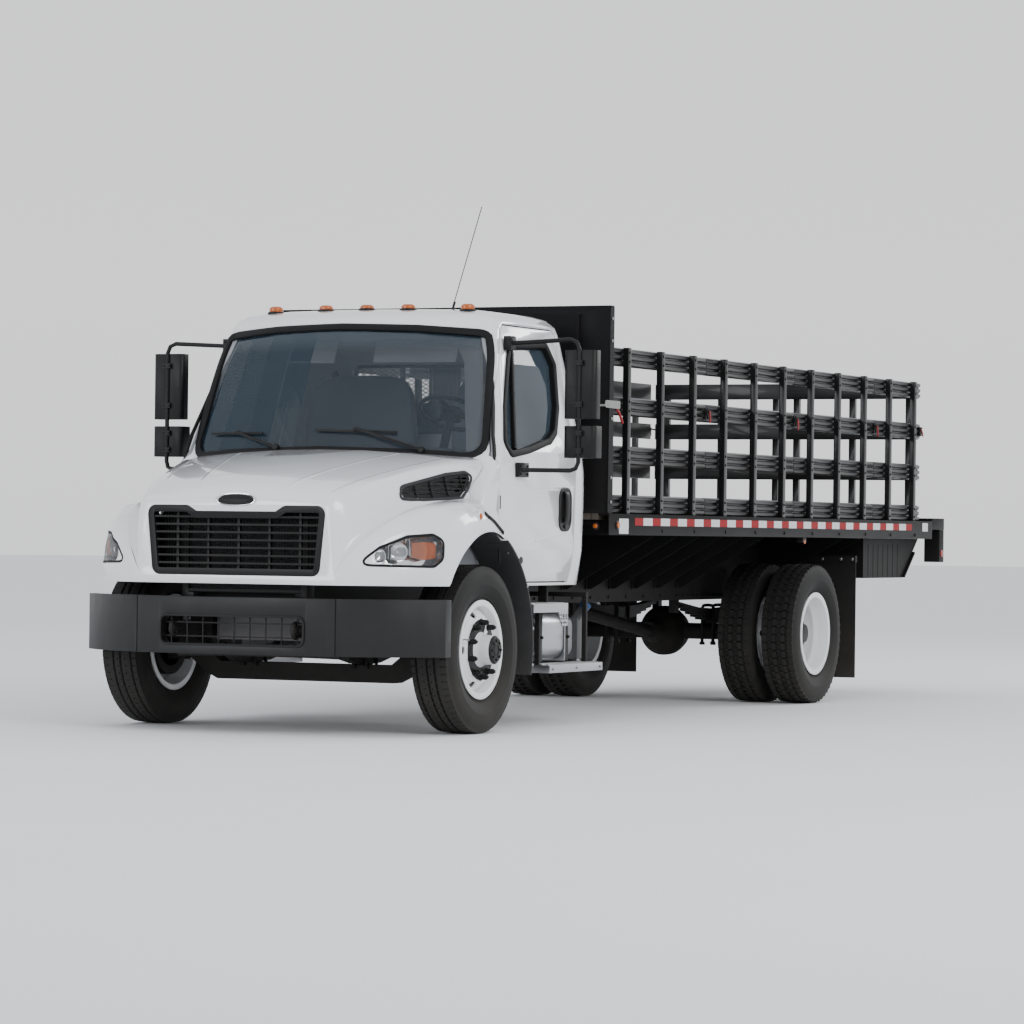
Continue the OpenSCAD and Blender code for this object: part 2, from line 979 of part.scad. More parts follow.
module engine() {
    color([0.3, 0.3, 0.3])
        on_ground()
            union() {
                box([firewall_x + 60, -300, 560], [640, 300, 1420]);
                box([-1300, -230, 600], [firewall_x + 60, 230, 880]);
                box([-1900, -160, 640], [-1300, 160, 840]);
                // Mount across the frame
                box([520, -rail_y + rail_t + 0.3, 800], [600, rail_y - rail_t - 0.3, 900]);
            }
}

radiator_half = 430;

module radiator() {
    color([0.6, 0.6, 0.62])
        on_ground()
            union() {
                box([760, -radiator_half, 850], [830, radiator_half, 1380]);
                both_sides()
                    box([750, radiator_half - 45, 845], [850, radiator_half, 1385]);
                // Feet on the brackets of the bumper
                both_sides()
                    box([750, rail_y - rail_flange, rail_low + bracket_h + seat_gap], [850, rail_y, 850]);
            }
}

// Tanks and steps beside the frame

tank_out = 1075;

tank_in = rail_y + 35;
tank_z = 568;
tank_h = 290;

// Section of the fuel tank, Y and Z
module tank_section(grow) {
    translate([(tank_in + tank_out) / 2, tank_z])
        offset(r = 80 + grow, $fn = 32)
            square([tank_out - tank_in - 160, tank_h - 160], center = true);
}

module fuel_tank() {
    color([0.75, 0.76, 0.78])
        on_ground() {
            along_x(-1602, -1035)
                tank_section(0);
            // Brackets with the tank's straps
            for (x = [-1090, -1493])
                difference() {
                    box([x - 25, rail_y + seat_gap, tank_z - tank_h / 2 - 12], [x + 25, tank_out + 12, 800]);
                    along_x(-2000, 0)
                        tank_section(seat_gap);
                    box([x - 40, rail_y + 150, tank_z + tank_h / 2 + 12], [x + 40, far, 900]);
                }
        }
}

module side_tanks() {
    color([0.35, 0.36, 0.37])
        on_ground() {
            // Small tank behind the fuel tank
            box([-1904, rail_y + 0.3, 415], [-1755, 1040, 679]);
            bar([-1790, 1000, 660], [-1790, 1080, 762], 30);
            // Exhaust treatment box with the batteries on the other side
            box([-1650, -1060, 400], [-1030, -rail_y - 0.3, 725]);
            // Air tank between the rails and behind the cab
            bar([-2700, -rail_y - 130, 720], [-2150, -rail_y - 130, 720], 118);
            for (x = [-2600, -2250])
                box([x - 20, -rail_y - 140, 810], [x + 20, -rail_y - 0.3, 850]);
        }
}

module cab_steps() {
    color([0.7, 0.7, 0.72])
        on_ground()
            both_sides() {
                // Treads with the side plates that hang them from the cab and the frame
                box([-1268, 1000, 730], [-746, 1195, 785]);
                box([-1811, 1010, 345], [-985, 1200, 395]);
                for (x = [-1240, -765])
                    box([x - 12, 1000, 784], [x + 12, 1060, cab_floor - seat_gap]);
                for (x = [-1730, -1000])
                    box([x - 12, tank_out + 15, 394], [x + 12, tank_out + 45, x < -1500 ? 850 : 731]);
                box([-1747, rail_y + seat_gap, 820], [-1713, tank_out + 45, 850]);
            }
}

// Inside of the cab

wheel_y = 500;
column_r = 28;
wheel_at = [-960, wheel_y, 1990];
wheel_tilt = -28;

// Plan of the dashboard: its front edge follows the windscreen
module dashboard_plan() {
    half = cab_half - 100;
    front = [for (i = [-6 : 6]) let (y = half * i / 6) [-178 - 300 * pow(y / half, 2), y]];
    polygon(concat(front, [[-900, half], [-900, -half]]));
}

module dashboard() {
    color([0.2, 0.22, 0.26])
        on_ground()
            difference() {
                intersection() {
                    translate([0, 0, 1300])
                        linear_extrude(height = 500)
                            dashboard_plan();
                    along_y(-far, far)
                        polygon([[-150, 1560], [-200, 1690], [-380, 1730], [-700, 1740], [-860, 1700], [-880, 1560], [-760, 1430],
                            [-640, 1380], [-150, 1440]]);
                }
                translate(wheel_at)
                    rotate([0, wheel_tilt, 0])
                        translate([0, 0, -500])
                            cylinder(r = column_r + seat_gap, h = 500, $fn = 32);
            }
}

module steering_wheel() {
    rim_radius = 225;
    color([0.1, 0.1, 0.1])
        on_ground()
            translate(wheel_at)
                rotate([0, wheel_tilt, 0]) {
                    rotate_extrude($fn = 64)
                        translate([rim_radius - 15, 0])
                            circle(r = 15, $fn = 24);
                    translate([0, 0, -30])
                        cylinder(r = 70, h = 45, $fn = 48);
                    for (a = [0, 120, 240])
                        rotate([0, 0, a])
                            box([0, -16, -8], [rim_radius - 20, 16, 8]);
                    translate([0, 0, -380])
                        cylinder(r = column_r, h = 360, $fn = 32);
                }
}

seat_z = 1420;

// One seat's solids: base, cushion and back
module seat(y, half) {
    box([-1420, y - half + 40, floor_top + seat_gap], [-1000, y + half - 40, seat_z]);
    box([-1450, y - half, seat_z + seat_gap], [-950, y + half, seat_z + 150]);
    translate([-1398, y, seat_z + 60])
        rotate([0, -8, 0])
            box([-90, -half + 10, 20], [0, half - 10, 800]);
}

module seats() {
    color([0.25, 0.27, 0.32])
        on_ground() {
            seat(wheel_y, 260);
            seat(-430, 420);
        }
}

// Lamps, aerial and wipers on the cab

roof_lamps = [[-700, 0], [-700, 295], [-700, -295], [-755, 690], [-755, -690]];
aerial_x = -950;
aerial_y = 500;
aerial_top = 3347;

module roof_lamp() {
    cylinder(r = 45, h = 48, $fn = 48);
    translate([0, 0, 48])
        cylinder(r1 = 45, r2 = 30, h = 12, $fn = 48);
}

module roof_fittings() {
    color([1, 0.55, 0.1])
        on_ground() {
            difference() {
                union() {
                    for (p = roof_lamps)
                        translate([p[0] - 30, p[1], roof_z - 30])
                            roof_lamp();
                    translate([aerial_x, aerial_y, roof_z - 40])
                        cylinder(r = 22, h = 55, $fn = 32);
                }
                cab_form(-seat_gap);
            }
            bar([aerial_x, aerial_y, roof_z + 10], [aerial_x - 420, aerial_y, aerial_top], 3);
        }
}

// Place of the windscreen's outer face at a distance y from the centre and a height z
function screen_x(y, z) =
    let (t = (z - belt_z - 40) / (roof_z - 650 - belt_z - 40))
    -105 - 85 * t - 250 * pow(y / (1036 - 53 * t), 2);

// Point before the windscreen
function on_screen(y, z, out) = [screen_x(y, z) + out, y, z];

// One row for each wiper, Y and Z: both ends of the blade, the arm's end, its bend and its pivot
wiper_rows = [
    [[-48, 1862], [494, 1849], [238, 1874], [420, 1818], [669, 1740]],
    [[-897, 1843], [-448, 1843], [-655, 1852], [-500, 1805], [-317, 1755]]
];

// Flat strip through points that are listed with rising Y
module strip(points, high, deep) {
    loft([for (p = points)
        let (x = p[0], y = p[1], z = p[2], h = high / 2, d = deep / 2)
        [[x + d, y, z + h], [x - d, y, z + h], [x - d, y, z - h], [x + d, y, z - h]]]);
}

module wipers() {
    color([0.05, 0.05, 0.05])
        on_ground()
            for (row = wiper_rows)
                let (
                    from = row[0],
                    to = row[1],
                    mid = (from + to) / 2,
                    end = row[2],
                    bend = row[3],
                    pivot = row[4]
                ) {
                    strip([
                        on_screen(from[0], from[1], 10),
                        on_screen(mid[0], mid[1], 12),
                        on_screen(to[0], to[1], 10)
                    ], 14, 10);
                    strip([
                        on_screen(end[0] - 20, mid[1], 20),
                        on_screen(end[0], end[1], 28),
                        on_screen(bend[0], bend[1], 30),
                        on_screen(pivot[0], pivot[1], 26)
                    ], 18, 12);
                    difference() {
                        bar(on_screen(pivot[0], pivot[1], -20), on_screen(pivot[0], pivot[1], 36), 14);
                        cab_form(-seat_gap);
                    }
                }
}

module grab_handles() {
    color([0.75, 0.76, 0.78])
        on_ground()
            both_sides()
                bent_bar([
                    [cab_back - seat_gap, cab_half - 90, 1290],
                    [cab_back - 66, cab_half - 90, 1290],
                    [cab_back - 66, cab_half - 90, 1830],
                    [cab_back - seat_gap, cab_half - 90, 1830]
                ], 14);
}

// Bed

module bed_sills() {
    color([0.08, 0.08, 0.08])
        on_ground() {
            both_sides()
                box([side_rail_end + 20, spring_y - 40, rail_top + 0.3], [bed_front - 60, spring_y + 40, side_rail_low]);
            for (i = [0 : cross_count - 1])
                let (x = bed_front - 200 + i * (side_rail_end - bed_front + 360) / (cross_count - 1))
                    box([x - 30, -bed_half + side_rail_w + 0.3, side_rail_low], [x + 30, bed_half - side_rail_w - 0.3, deck_z - deck_t]);
        }
}

module bed_deck() {
    color([0.1, 0.1, 0.1])
        on_ground()
            box([side_rail_end, -bed_half + side_rail_w + 0.3, deck_z - deck_t + 0.3], [bed_front, bed_half - side_rail_w - 0.3, deck_z]);
}

rail_wall = 8;
slat_y = bed_half - 8 - stake_t;
rack_front = bed_front - headboard_t - 12;
rack_end = side_rail_end + 190;

stake_pitch = (bed_front - first_stake - rack_end - last_stake) / (stake_count - 1);

function stake_x(i) = bed_front - first_stake - i * stake_pitch;

module side_rails() {
    color([0.08, 0.08, 0.08])
        on_ground() {
            both_sides()
                difference() {
                    along_x(side_rail_end, bed_front)
                        translate([bed_half - side_rail_w, side_rail_low])
                            difference() {
                                square([side_rail_w, side_rail_h]);
                                translate([-1, rail_wall])
                                    square([side_rail_w - rail_wall + 1, side_rail_h - 2 * rail_wall]);
                            }
                    // Pockets that the stakes stand in
                    for (i = [0 : stake_count - 1])
                        box([stake_x(i) - stake_w / 2 - 1, slat_y - 1, deck_z - 60],
                            [stake_x(i) + stake_w / 2 + 1, slat_y + stake_t + 1, deck_z + 10]);
                }
            // Tail sill across the end of the bed
            box([tail_x, -bed_half, deck_z - 65], [side_rail_end - seat_gap, bed_half, deck_z + 25]);
        }
}

board_open = 300;

module headboard() {
    color([0.08, 0.08, 0.08])
        on_ground()
            difference() {
                box([bed_front - headboard_t, -bed_half + 6, deck_z + 0.3], [bed_front, bed_half - 6, headboard_z]);
                // Windows in line with the cab's rear window
                for (side = [-1, 1])
                    translate([0, side * 470, rear_window_z + 124])
                        along_x(-far, 0)
                            offset(r = 25, $fn = 24)
                                square([760, board_open - 50], center = true);
                // Folds of the sheet between its posts
                for (y = [-1000, 1000])
                    box([bed_front - 12, y - 12, deck_z + 60], [bed_front + 1, y + 12, headboard_z - 60]);
            }
}

// One slat's section: three ribs on a flat back, Y outwards and Z up
module slat_section() {
    rib = slat_h / 3;
    polygon(concat(
        [[0, 0]],
        [for (i = [0 : 2]) each [[slat_t * 0.35, i * rib + 4], [slat_t, i * rib + 10], [slat_t, (i + 1) * rib - 10], [slat_t * 0.35, (i + 1) * rib - 4]]],
        [[0, slat_h]]
    ));
}

// Rack panels: number of the first and last stake of each
rack_panels = [[0, 2], [3, 5], [6, 8], [9, stake_count - 1]];
panel_gap = 8;

function panel_start(k) = k == 0 ? rack_front : (stake_x(rack_panels[k][0] - 1) + stake_x(rack_panels[k][0])) / 2 - panel_gap / 2;
function panel_end(k) = k == len(rack_panels) - 1 ? rack_end
    : (stake_x(rack_panels[k][1]) + stake_x(rack_panels[k][1] + 1)) / 2 + panel_gap / 2;

module side_rack() {
    for (k = [0 : len(rack_panels) - 1])
        union() {
            for (j = [0 : slat_count - 1])
                along_x(panel_end(k), panel_start(k))
                    translate([slat_y - slat_t, deck_z + 0.5 + j * slat_pitch])
                        slat_section();
            for (i = [rack_panels[k][0] : rack_panels[k][1]])
                box([stake_x(i) - stake_w / 2, slat_y - 0.5, side_rail_low + rail_wall],
                    [stake_x(i) + stake_w / 2, slat_y + stake_t, deck_z + (slat_count - 1) * slat_pitch + slat_h]);
        }
}

module rack_left() {
    color([0.09, 0.09, 0.09])
        on_ground()
            side_rack();
}

module rack_right() {
    color([0.09, 0.09, 0.09])
        on_ground()
            mirror([0, 1, 0])
                side_rack();
}

module rear_gate() {
    gate_x = rack_end - 60;
    gate_half = slat_y - slat_t - 12;
    color([0.09, 0.09, 0.09])
        on_ground()
            for (side = [-1, 1])
                union() {
                    for (j = [0 : slat_count - 1])
                        translate([gate_x, side > 0 ? gate_half : -panel_gap / 2, deck_z + 0.5 + j * slat_pitch])
                            rotate([90, 0, 0])
                                linear_extrude(height = gate_half - panel_gap / 2)
                                    mirror([1, 0])
                                        slat_section();
                    for (y = [90, gate_half / 2, gate_half - 90])
                        box([gate_x - stake_t - slat_t + 0.5, side * y - stake_w / 2, deck_z + 0.5],
                            [gate_x - slat_t + 0.5, side * y + stake_w / 2, deck_z + (slat_count - 1) * slat_pitch + slat_h]);
                }
}

lamp_box_w = 130;

module tail_lamps() {
    color([0.1, 0.1, 0.1])
        on_ground()
            both_sides()
                box([tail_x, bed_half - lamp_box_w, 1040], [tail_x + 110, bed_half, deck_z - 65 - seat_gap]);
}

module rear_apron() {
    color([0.07, 0.07, 0.07])
        on_ground()
            difference() {
                along_y(119 - bed_half, bed_half - 119)
                    polygon([[-7000, side_rail_low - seat_gap], [-7000, 920], [-7900, 920], [side_rail_end, side_rail_low - seat_gap]]);
                // Hollow over the frame rails
                box([-far * 3, -rail_y - 10, 0], [0, rail_y + 10, side_rail_low + 10]);
            }
}

flap_x = -wheelbase - 850;

module mudflaps() {
    color([0.05, 0.05, 0.05])
        on_ground()
            both_sides() {
                box([flap_x - 10, 600, 165], [flap_x, bed_half - 14, 1060]);
                box([flap_x - 30, rail_y + 0.3, 1040], [flap_x + 10, bed_half - 14, 1090]);
            }
}

module marker_lamps() {
    color([1, 0.55, 0.1])
        on_ground()
            both_sides() {
                translate([-1980, bed_half + 0.3, 1290])
                    rotate([-90, 0, 0])
                        cylinder(r = 20, h = 14, $fn = 32);
                translate([-5450, bed_half - 60, side_rail_low - 38 - 0.3])
                    box([-35, 0, 0], [35, 50, 38]);
            }
}

// Wheels

// Tyre section: radius and distance from the tyre's middle, round one side
function tyre_half_section() = [
    [rim_r + rim_lip + 2, tyre_w * 0.36],
    [rim_r + 60, tyre_w * 0.45],
    [rim_r + 120, tyre_w * 0.5],
    [rim_r + 165, tyre_w * 0.487],
    [tyre_r - 32, tyre_w * 0.44],
    [tyre_r - 12, tyre_w * 0.41],
    [tyre_r - 3, tyre_w * 0.34],
    [tyre_r, tyre_w * 0.2]
];

// A tyre round Y with its middle at y
module tyre(y) {
    half = tyre_half_section();
    translate([0, y, 0])
        rotate([-90, 0, 0])
            rotate_extrude($fn = 96)
                polygon(concat(
                    [[rim_r, tyre_w * 0.3]],
                    half,
                    [for (i = [len(half) - 1 : -1 : 0]) [half[i][0], -half[i][1]]],
                    [[rim_r, -tyre_w * 0.3]]
                ));
}

disc_t = 12;
hub_r = 110;
bolt_r = 167;

// A rim round Y with its middle at y, and its disc at disc_y
module rim(y, disc_y, side) {
    half = rim_w / 2;
    translate([0, y, 0])
        rotate([-90, 0, 0])
            rotate_extrude($fn = 96)
                polygon([
                    [rim_r - 8, -half + 20], [rim_r - 8, -half + 2], [rim_r + rim_lip, -half], [rim_r + rim_lip, -half - 8],
                    [rim_r - 18, -half - 6], [rim_r - 18, -40], [rim_r - 34, 0], [rim_r - 18, 40],
                    [rim_r - 18, half + 6], [rim_r + rim_lip, half + 8], [rim_r + rim_lip, half], [rim_r - 8, half - 2],
                    [rim_r - 8, half - 20], [rim_r - 8, 40], [rim_r - 24, 0], [rim_r - 8, -40]
                ]);
    // Disc with its hand holes, a cone between the hub face and the rim
    difference() {
        translate([0, disc_y, 0])
            rotate([-90, 0, 0])
                rotate_extrude($fn = 96)
                    polygon([
                        [hub_r, 0], [210, 0], [rim_r - 17, -side * 60], [rim_r - 17, -side * (60 + disc_t)],
                        [208, -side * disc_t], [hub_r, -side * disc_t]
                    ]);
        for (a = [0 : 72 : 288])
            rotate([0, a, 0])
                translate([228, y - 400, 0])
                    rotate([-90, 0, 0])
                        cylinder(r = 28, h = 800, $fn = 32);
    }
}

front_disc_y = 1175;
front_bore_r = 38;
pin_bore_r = 24;
hub_end = 1290;

module front_wheel() {
    rim(front_tyre_y, front_disc_y, 1);
    // Brake drum
    translate([0, 990, 0])
        rotate([-90, 0, 0])
            rotate_extrude($fn = 64)
                polygon([[150, 0], [drum_r, 0], [drum_r, 150], [hub_r - 40, 178], [hub_r - 40, 160], [drum_r - 14, 136], [drum_r - 14, 14], [150, 14]]);
    // Hub with its cap
    translate([0, 1120, 0])
        rotate([-90, 0, 0])
            rotate_extrude($fn = 64)
                polygon([[front_bore_r, 0], [95, 0], [hub_r + 0.2, 40], [hub_r + 0.2, 60], [92, 90], [88, hub_end - 1120 - 14], [74, hub_end - 1120],
                    [0, hub_end - 1120], [0, hub_end - 1120 - 16], [front_bore_r, hub_end - 1120 - 30]]);
    bolt_ring(front_disc_y);
}

module rear_wheels() {
    rim(rear_tyre_y, dual_mid_y + disc_t, -1);
    rim(rear_inner_y, dual_mid_y - disc_t, 1);
    // Brake drum
    translate([0, dual_mid_y - 190, 0])
        rotate([-90, 0, 0])
            rotate_extrude($fn = 64)
                polygon([[150, 0], [drum_r, 0], [drum_r, 160], [hub_r - 20, 178], [hub_r - 20, 160], [drum_r - 14, 146], [drum_r - 14, 14], [150, 14]]);
    // Hub and the end of the axle shaft
    translate([0, rear_hub_y, 0])
        rotate([-90, 0, 0])
            rotate_extrude($fn = 64)
                polygon([[rear_bore_r, 0], [hub_r + 0.2, 0], [hub_r + 0.2, 60], [98, 90], [96, 190], [70, 205], [66, 222],
                    [0, 222], [0, 120], [rear_bore_r, 120]]);
    bolt_ring(dual_mid_y + 2 * disc_t);
}

// Ring of a wheel's bolt face, from y outwards
module bolt_ring(y) {
    translate([0, y, 0])
        rotate([-90, 0, 0])
            difference() {
                cylinder(r = bolt_r + 20, h = 8, $fn = 64);
                translate([0, 0, -1])
                    cylinder(r = hub_r - 12, h = 10, $fn = 64);
            }
}

module at_front_wheel() {
    translate([0, 0, tyre_r])
        children();
}

module at_rear_wheel() {
    translate([-wheelbase, 0, tyre_r])
        children();
}

module tyre_front_left() {
    color([0.12, 0.12, 0.12])
        on_ground()
            at_front_wheel()
                tyre(front_tyre_y);
}

module tyre_front_right() {
    color([0.12, 0.12, 0.12])
        on_ground()
            at_front_wheel()
                tyre(-front_tyre_y);
}

module tyres_rear_left() {
    color([0.12, 0.12, 0.12])
        on_ground()
            at_rear_wheel() {
                tyre(rear_tyre_y);
                tyre(rear_inner_y);
            }
}

module tyres_rear_right() {
    color([0.12, 0.12, 0.12])
        on_ground()
            at_rear_wheel() {
                tyre(-rear_tyre_y);
                tyre(-rear_inner_y);
            }
}

module wheel_front_left() {
    color("white")
        on_ground()
            at_front_wheel()
                front_wheel();
}

module wheel_front_right() {
    color("white")
        on_ground()
            at_front_wheel()
                mirror([0, 1, 0])
                    front_wheel();
}

module wheels_rear_left() {
    color("white")
        on_ground()
            at_rear_wheel()
                rear_wheels();
}

module wheels_rear_right() {
    color("white")
        on_ground()
            at_rear_wheel()
                mirror([0, 1, 0])
                    rear_wheels();
}

// Steering knuckle: yoke above and below the beam's eye, pin and spindle
module knuckle() {
    translate([0, kingpin_y, 0])
        cylinder(r = pin_bore_r - running_gap, h = 190, center = true, $fn = 48);
    for (z = [-105, 66])
        translate([0, kingpin_y, z])
            difference() {
                cylinder(r = 50, h = 39, $fn = 48);
                translate([0, 0, -1])
                    cylinder(r = 23, h = 41, $fn = 48);
            }
    box([-50, kingpin_y + 56, -105], [50, kingpin_y + 78, 105]);
    for (z = [-105, 66])
        box([-50, kingpin_y + 15, z], [50, kingpin_y + 78, z + 39]);
    translate([0, kingpin_y + 70, 0])
        rotate([-90, 0, 0])
            cylinder(r = front_bore_r - running_gap, h = 215, $fn = 48);
}

module knuckle_left() {
    color([0.2, 0.2, 0.2])
        on_ground()
            at_front_wheel()
                knuckle();
}

module knuckle_right() {
    color([0.2, 0.2, 0.2])
        on_ground()
            at_front_wheel()
                mirror([0, 1, 0])
                    knuckle();
}

frame_rails();
bumper();
front_axle();
leaf_springs();
rear_axle();
driveshaft();
engine();
radiator();
fuel_tank();
side_tanks();
cab_steps();
cab_shell();
cab_glass();
dashboard();
steering_wheel();
seats();
roof_fittings();
wipers();
quarter_fenders();
bed_deck();
bed_sills();
side_rails();
headboard();
rack_left();
rack_right();
rear_gate();
tail_lamps();
rear_apron();
mudflaps();
marker_lamps();
grab_handles();
door_left();
door_right();
door_glass_left();
door_glass_right();
mirror_left();
mirror_right();
hood();
grille();
headlamps();
hood_vents();
knuckle_left();
knuckle_right();
tyre_front_left();
tyre_front_right();
wheel_front_left();
wheel_front_right();
tyres_rear_left();
tyres_rear_right();
wheels_rear_left();
wheels_rear_right();
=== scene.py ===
"""Dresses the packed flatbed truck: paint, glass, tyres, lamps, racks and seats, on a pale floor.

Points are written in millimetres with X = 0 at the front axle, Y to the driver's side and Z up
from the ground, as in the truck's drawing. place() turns them into the frame's metres.
"""

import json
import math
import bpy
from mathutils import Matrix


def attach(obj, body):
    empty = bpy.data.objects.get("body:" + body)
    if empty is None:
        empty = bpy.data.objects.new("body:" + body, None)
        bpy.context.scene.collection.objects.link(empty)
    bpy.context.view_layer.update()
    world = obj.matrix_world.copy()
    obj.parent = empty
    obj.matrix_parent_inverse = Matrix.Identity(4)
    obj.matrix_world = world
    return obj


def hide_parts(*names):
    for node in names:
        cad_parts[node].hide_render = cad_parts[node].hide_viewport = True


bl_info = {
    "name": "Flatbed Truck Dressing",
    "version": (1, 0, 0),
    "blender": (4, 5, 0),
    "location": "3D View > Sidebar > Truck",
    "description": "Paint, glass, tyres, lamps, racks and seats of a flatbed truck",
    "category": "Object",
}

import bmesh
import bpy
from bpy.props import BoolProperty, FloatProperty, FloatVectorProperty, IntProperty, PointerProperty
from mathutils import Matrix, Vector
from mathutils.bvhtree import BVHTree

for spare in ("Cube", "Light", "Camera"):
    if spare in bpy.data.objects:
        bpy.data.objects.remove(bpy.data.objects[spare])
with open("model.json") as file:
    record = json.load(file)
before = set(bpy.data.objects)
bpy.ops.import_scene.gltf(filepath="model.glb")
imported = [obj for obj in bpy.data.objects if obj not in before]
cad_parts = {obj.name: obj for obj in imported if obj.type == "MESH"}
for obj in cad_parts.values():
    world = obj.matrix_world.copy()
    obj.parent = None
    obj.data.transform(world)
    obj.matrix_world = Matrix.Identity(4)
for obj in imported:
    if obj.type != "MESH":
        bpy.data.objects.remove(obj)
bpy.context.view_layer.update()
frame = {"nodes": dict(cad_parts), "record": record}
BODY_OF = {node: body for body, nodes in frame["record"]["behaviour"]["bodies"].items() for node in nodes}

AXLE_X = 3758.0
WHEELBASE = 5700.0
TYRE_R = 515.0
CAB_HALF = 1140.0
BED_HALF = 1219.0
DECK_Z = 1365.0
BED_FRONT = -1850.0
TAIL_X = -8556.0
FIRST_STAKE = 328.0
STAKE_PITCH = 568.0
STAKES = 11
SLATS = 4
SLAT_PITCH = 324.0
REAR_WINDOW_Y = 470.0
TAPE_IN, TAPE_OUT = 1218.5, 1220.2

FLAT_DEGREES = 0.6
LENS_FLUTES = 260.0
SKY_STRENGTH = 1.25


# Sizes and colours that a user may change

class TruckSizes(bpy.types.PropertyGroup):
    """Sizes of the small parts."""

    gasket_w: FloatProperty(name="Gasket width", description="Width of the rubber round a window", default=0.040,
                            unit="LENGTH")
    tread_deep: FloatProperty(name="Tread depth", description="Depth of the grooves in a tyre", default=0.014,
                              unit="LENGTH")
    tread_pitches: IntProperty(name="Tread pitches", description="Blocks round a rear tyre", default=54, min=24, max=90)
    mesh_pitch: FloatProperty(name="Mesh pitch", description="Width of one diamond of the headboard's mesh",
                              default=0.055, unit="LENGTH")
    edge_round: FloatProperty(name="Edge rounding", description="Radius of the rounded sheet metal edges",
                              default=0.004, unit="LENGTH")
    with_dust: BoolProperty(name="Road dust", description="Light dust on the lower parts", default=True)


class TruckColours(bpy.types.PropertyGroup):
    """Colours of the finishes."""

    cab: FloatVectorProperty(name="Cab", description="Gloss paint of the cab and hood", default=(0.80, 0.82, 0.84),
                             subtype="COLOR")
    bed: FloatVectorProperty(name="Bed", description="Paint of the bed and the racks", default=(0.0055, 0.0055, 0.006),
                             subtype="COLOR")
    bumper: FloatVectorProperty(name="Bumper", description="Moulded bumper", default=(0.0085, 0.009, 0.0105),
                                subtype="COLOR")
    chassis: FloatVectorProperty(name="Chassis", description="Frame, axles and springs", default=(0.007, 0.007, 0.0075),
                                 subtype="COLOR")
    amber: FloatVectorProperty(name="Amber", description="Side lamps and roof lamps", default=(0.52, 0.105, 0.003),
                               subtype="COLOR")
    red: FloatVectorProperty(name="Red", description="Tape and latch handles", default=(0.27, 0.0025, 0.005),
                             subtype="COLOR")
    cloth: FloatVectorProperty(name="Seat cloth", description="Cloth of the seats", default=(0.10, 0.115, 0.14),
                               subtype="COLOR")
    wood: FloatVectorProperty(name="Deck boards", description="Boards of the deck", default=(0.055, 0.045, 0.036),
                              subtype="COLOR")


# Finishes

class Socket:
    """Output of a finish's node; sums and products on it add Math nodes."""

    def __init__(self, finish, socket):
        self.finish = finish
        self.socket = socket

    def maths(self, operation, *values):
        sockets = {i: v for i, v in enumerate(values)}
        return self.finish.node("Math", {"operation": operation}, sockets)

    def __add__(self, other):
        return self.maths("ADD", self, other)

    def __sub__(self, other):
        return self.maths("SUBTRACT", self, other)

    def __rsub__(self, other):
        return self.maths("SUBTRACT", other, self)

    def __mul__(self, other):
        return self.maths("MULTIPLY", self, other)

    def __truediv__(self, other):
        return self.maths("DIVIDE", self, other)

    def __gt__(self, other):
        return self.maths("GREATER_THAN", self, other)

    def __lt__(self, other):
        return self.maths("LESS_THAN", self, other)

    def __mod__(self, other):
        return self.maths("FLOORED_MODULO", self, other)

    __radd__ = __add__
    __rmul__ = __mul__

    def clipped(self):
        return self.finish.node("Clamp", {}, {"Value": self})

    def faded(self, low, high):
        """0 below low and 1 above high, with a straight run between them."""
        return ((self - low) / (high - low)).clipped()


class Finish:
    """One material, or the sky, and its nodes."""

    def __init__(self, name, home=None):
        self.material = (bpy.data.materials if home is None else home).new(name)
        self.material.use_nodes = True
        self.tree = self.material.node_tree
        self.tree.nodes.clear()
        self.spot = self.node("TexCoord", out="Object")

    def node(self, kind, settings=None, sockets=None, out=0):
        made = self.tree.nodes.new("ShaderNode" + kind)
        for key, value in (settings or {}).items():
            if key == "stops":
                ramp = made.color_ramp.elements
                while len(ramp) < len(value):
                    ramp.new(0.5)
                for element, (at, colour) in zip(ramp, value):
                    element.position = at
                    element.color = (*colour, 1.0)
            else:
                setattr(made, key, value)
        for key, value in (sockets or {}).items():
            if isinstance(value, Socket):
                self.tree.links.new(value.socket, made.inputs[key])
            elif value is not None:
                target = made.inputs[key]
                if target.type == "RGBA" and len(value) == 3:
                    value = (*value, 1.0)
                target.default_value = value
        return Socket(self, made.outputs[out]) if len(made.outputs) else made

    def noise(self, scale, detail=4.0, stretch=None):
        spot = self.spot
        if stretch:
            spot = self.node("VectorMath", {"operation": "MULTIPLY"}, {0: spot, 1: stretch})
        return self.node("TexNoise", {}, {"Vector": spot, "Scale": scale, "Detail": detail, "Roughness": 0.6})

    def axis(self, which):
        return self.node("SeparateXYZ", {}, {0: self.spot}, out=which)

    def mix(self, factor, first, second):
        return self.node("Mix", {"data_type": "RGBA"}, {0: factor, 6: first, 7: second}, out=2)

    def toned(self, colour, tone):
        return self.node("VectorMath", {"operation": "SCALE"}, {0: colour, "Scale": tone})

    def bump(self, height, strength, distance):
        return self.node("Bump", {}, {"Height": height, "Strength": strength, "Distance": distance}, out="Normal")

    def body(self, **sockets):
        """The surface shader, with sockets named in lower case."""
        named = {key.replace("_", " ").title().replace("Ior", "IOR"): value for key, value in sockets.items()}
        shader = self.node("BsdfPrincipled", {}, named)
        self.node("OutputMaterial", {"is_active_output": True}, {"Surface": shader})
        return self.material


FINISHES = {}
DUST = (0.30, 0.27, 0.235)


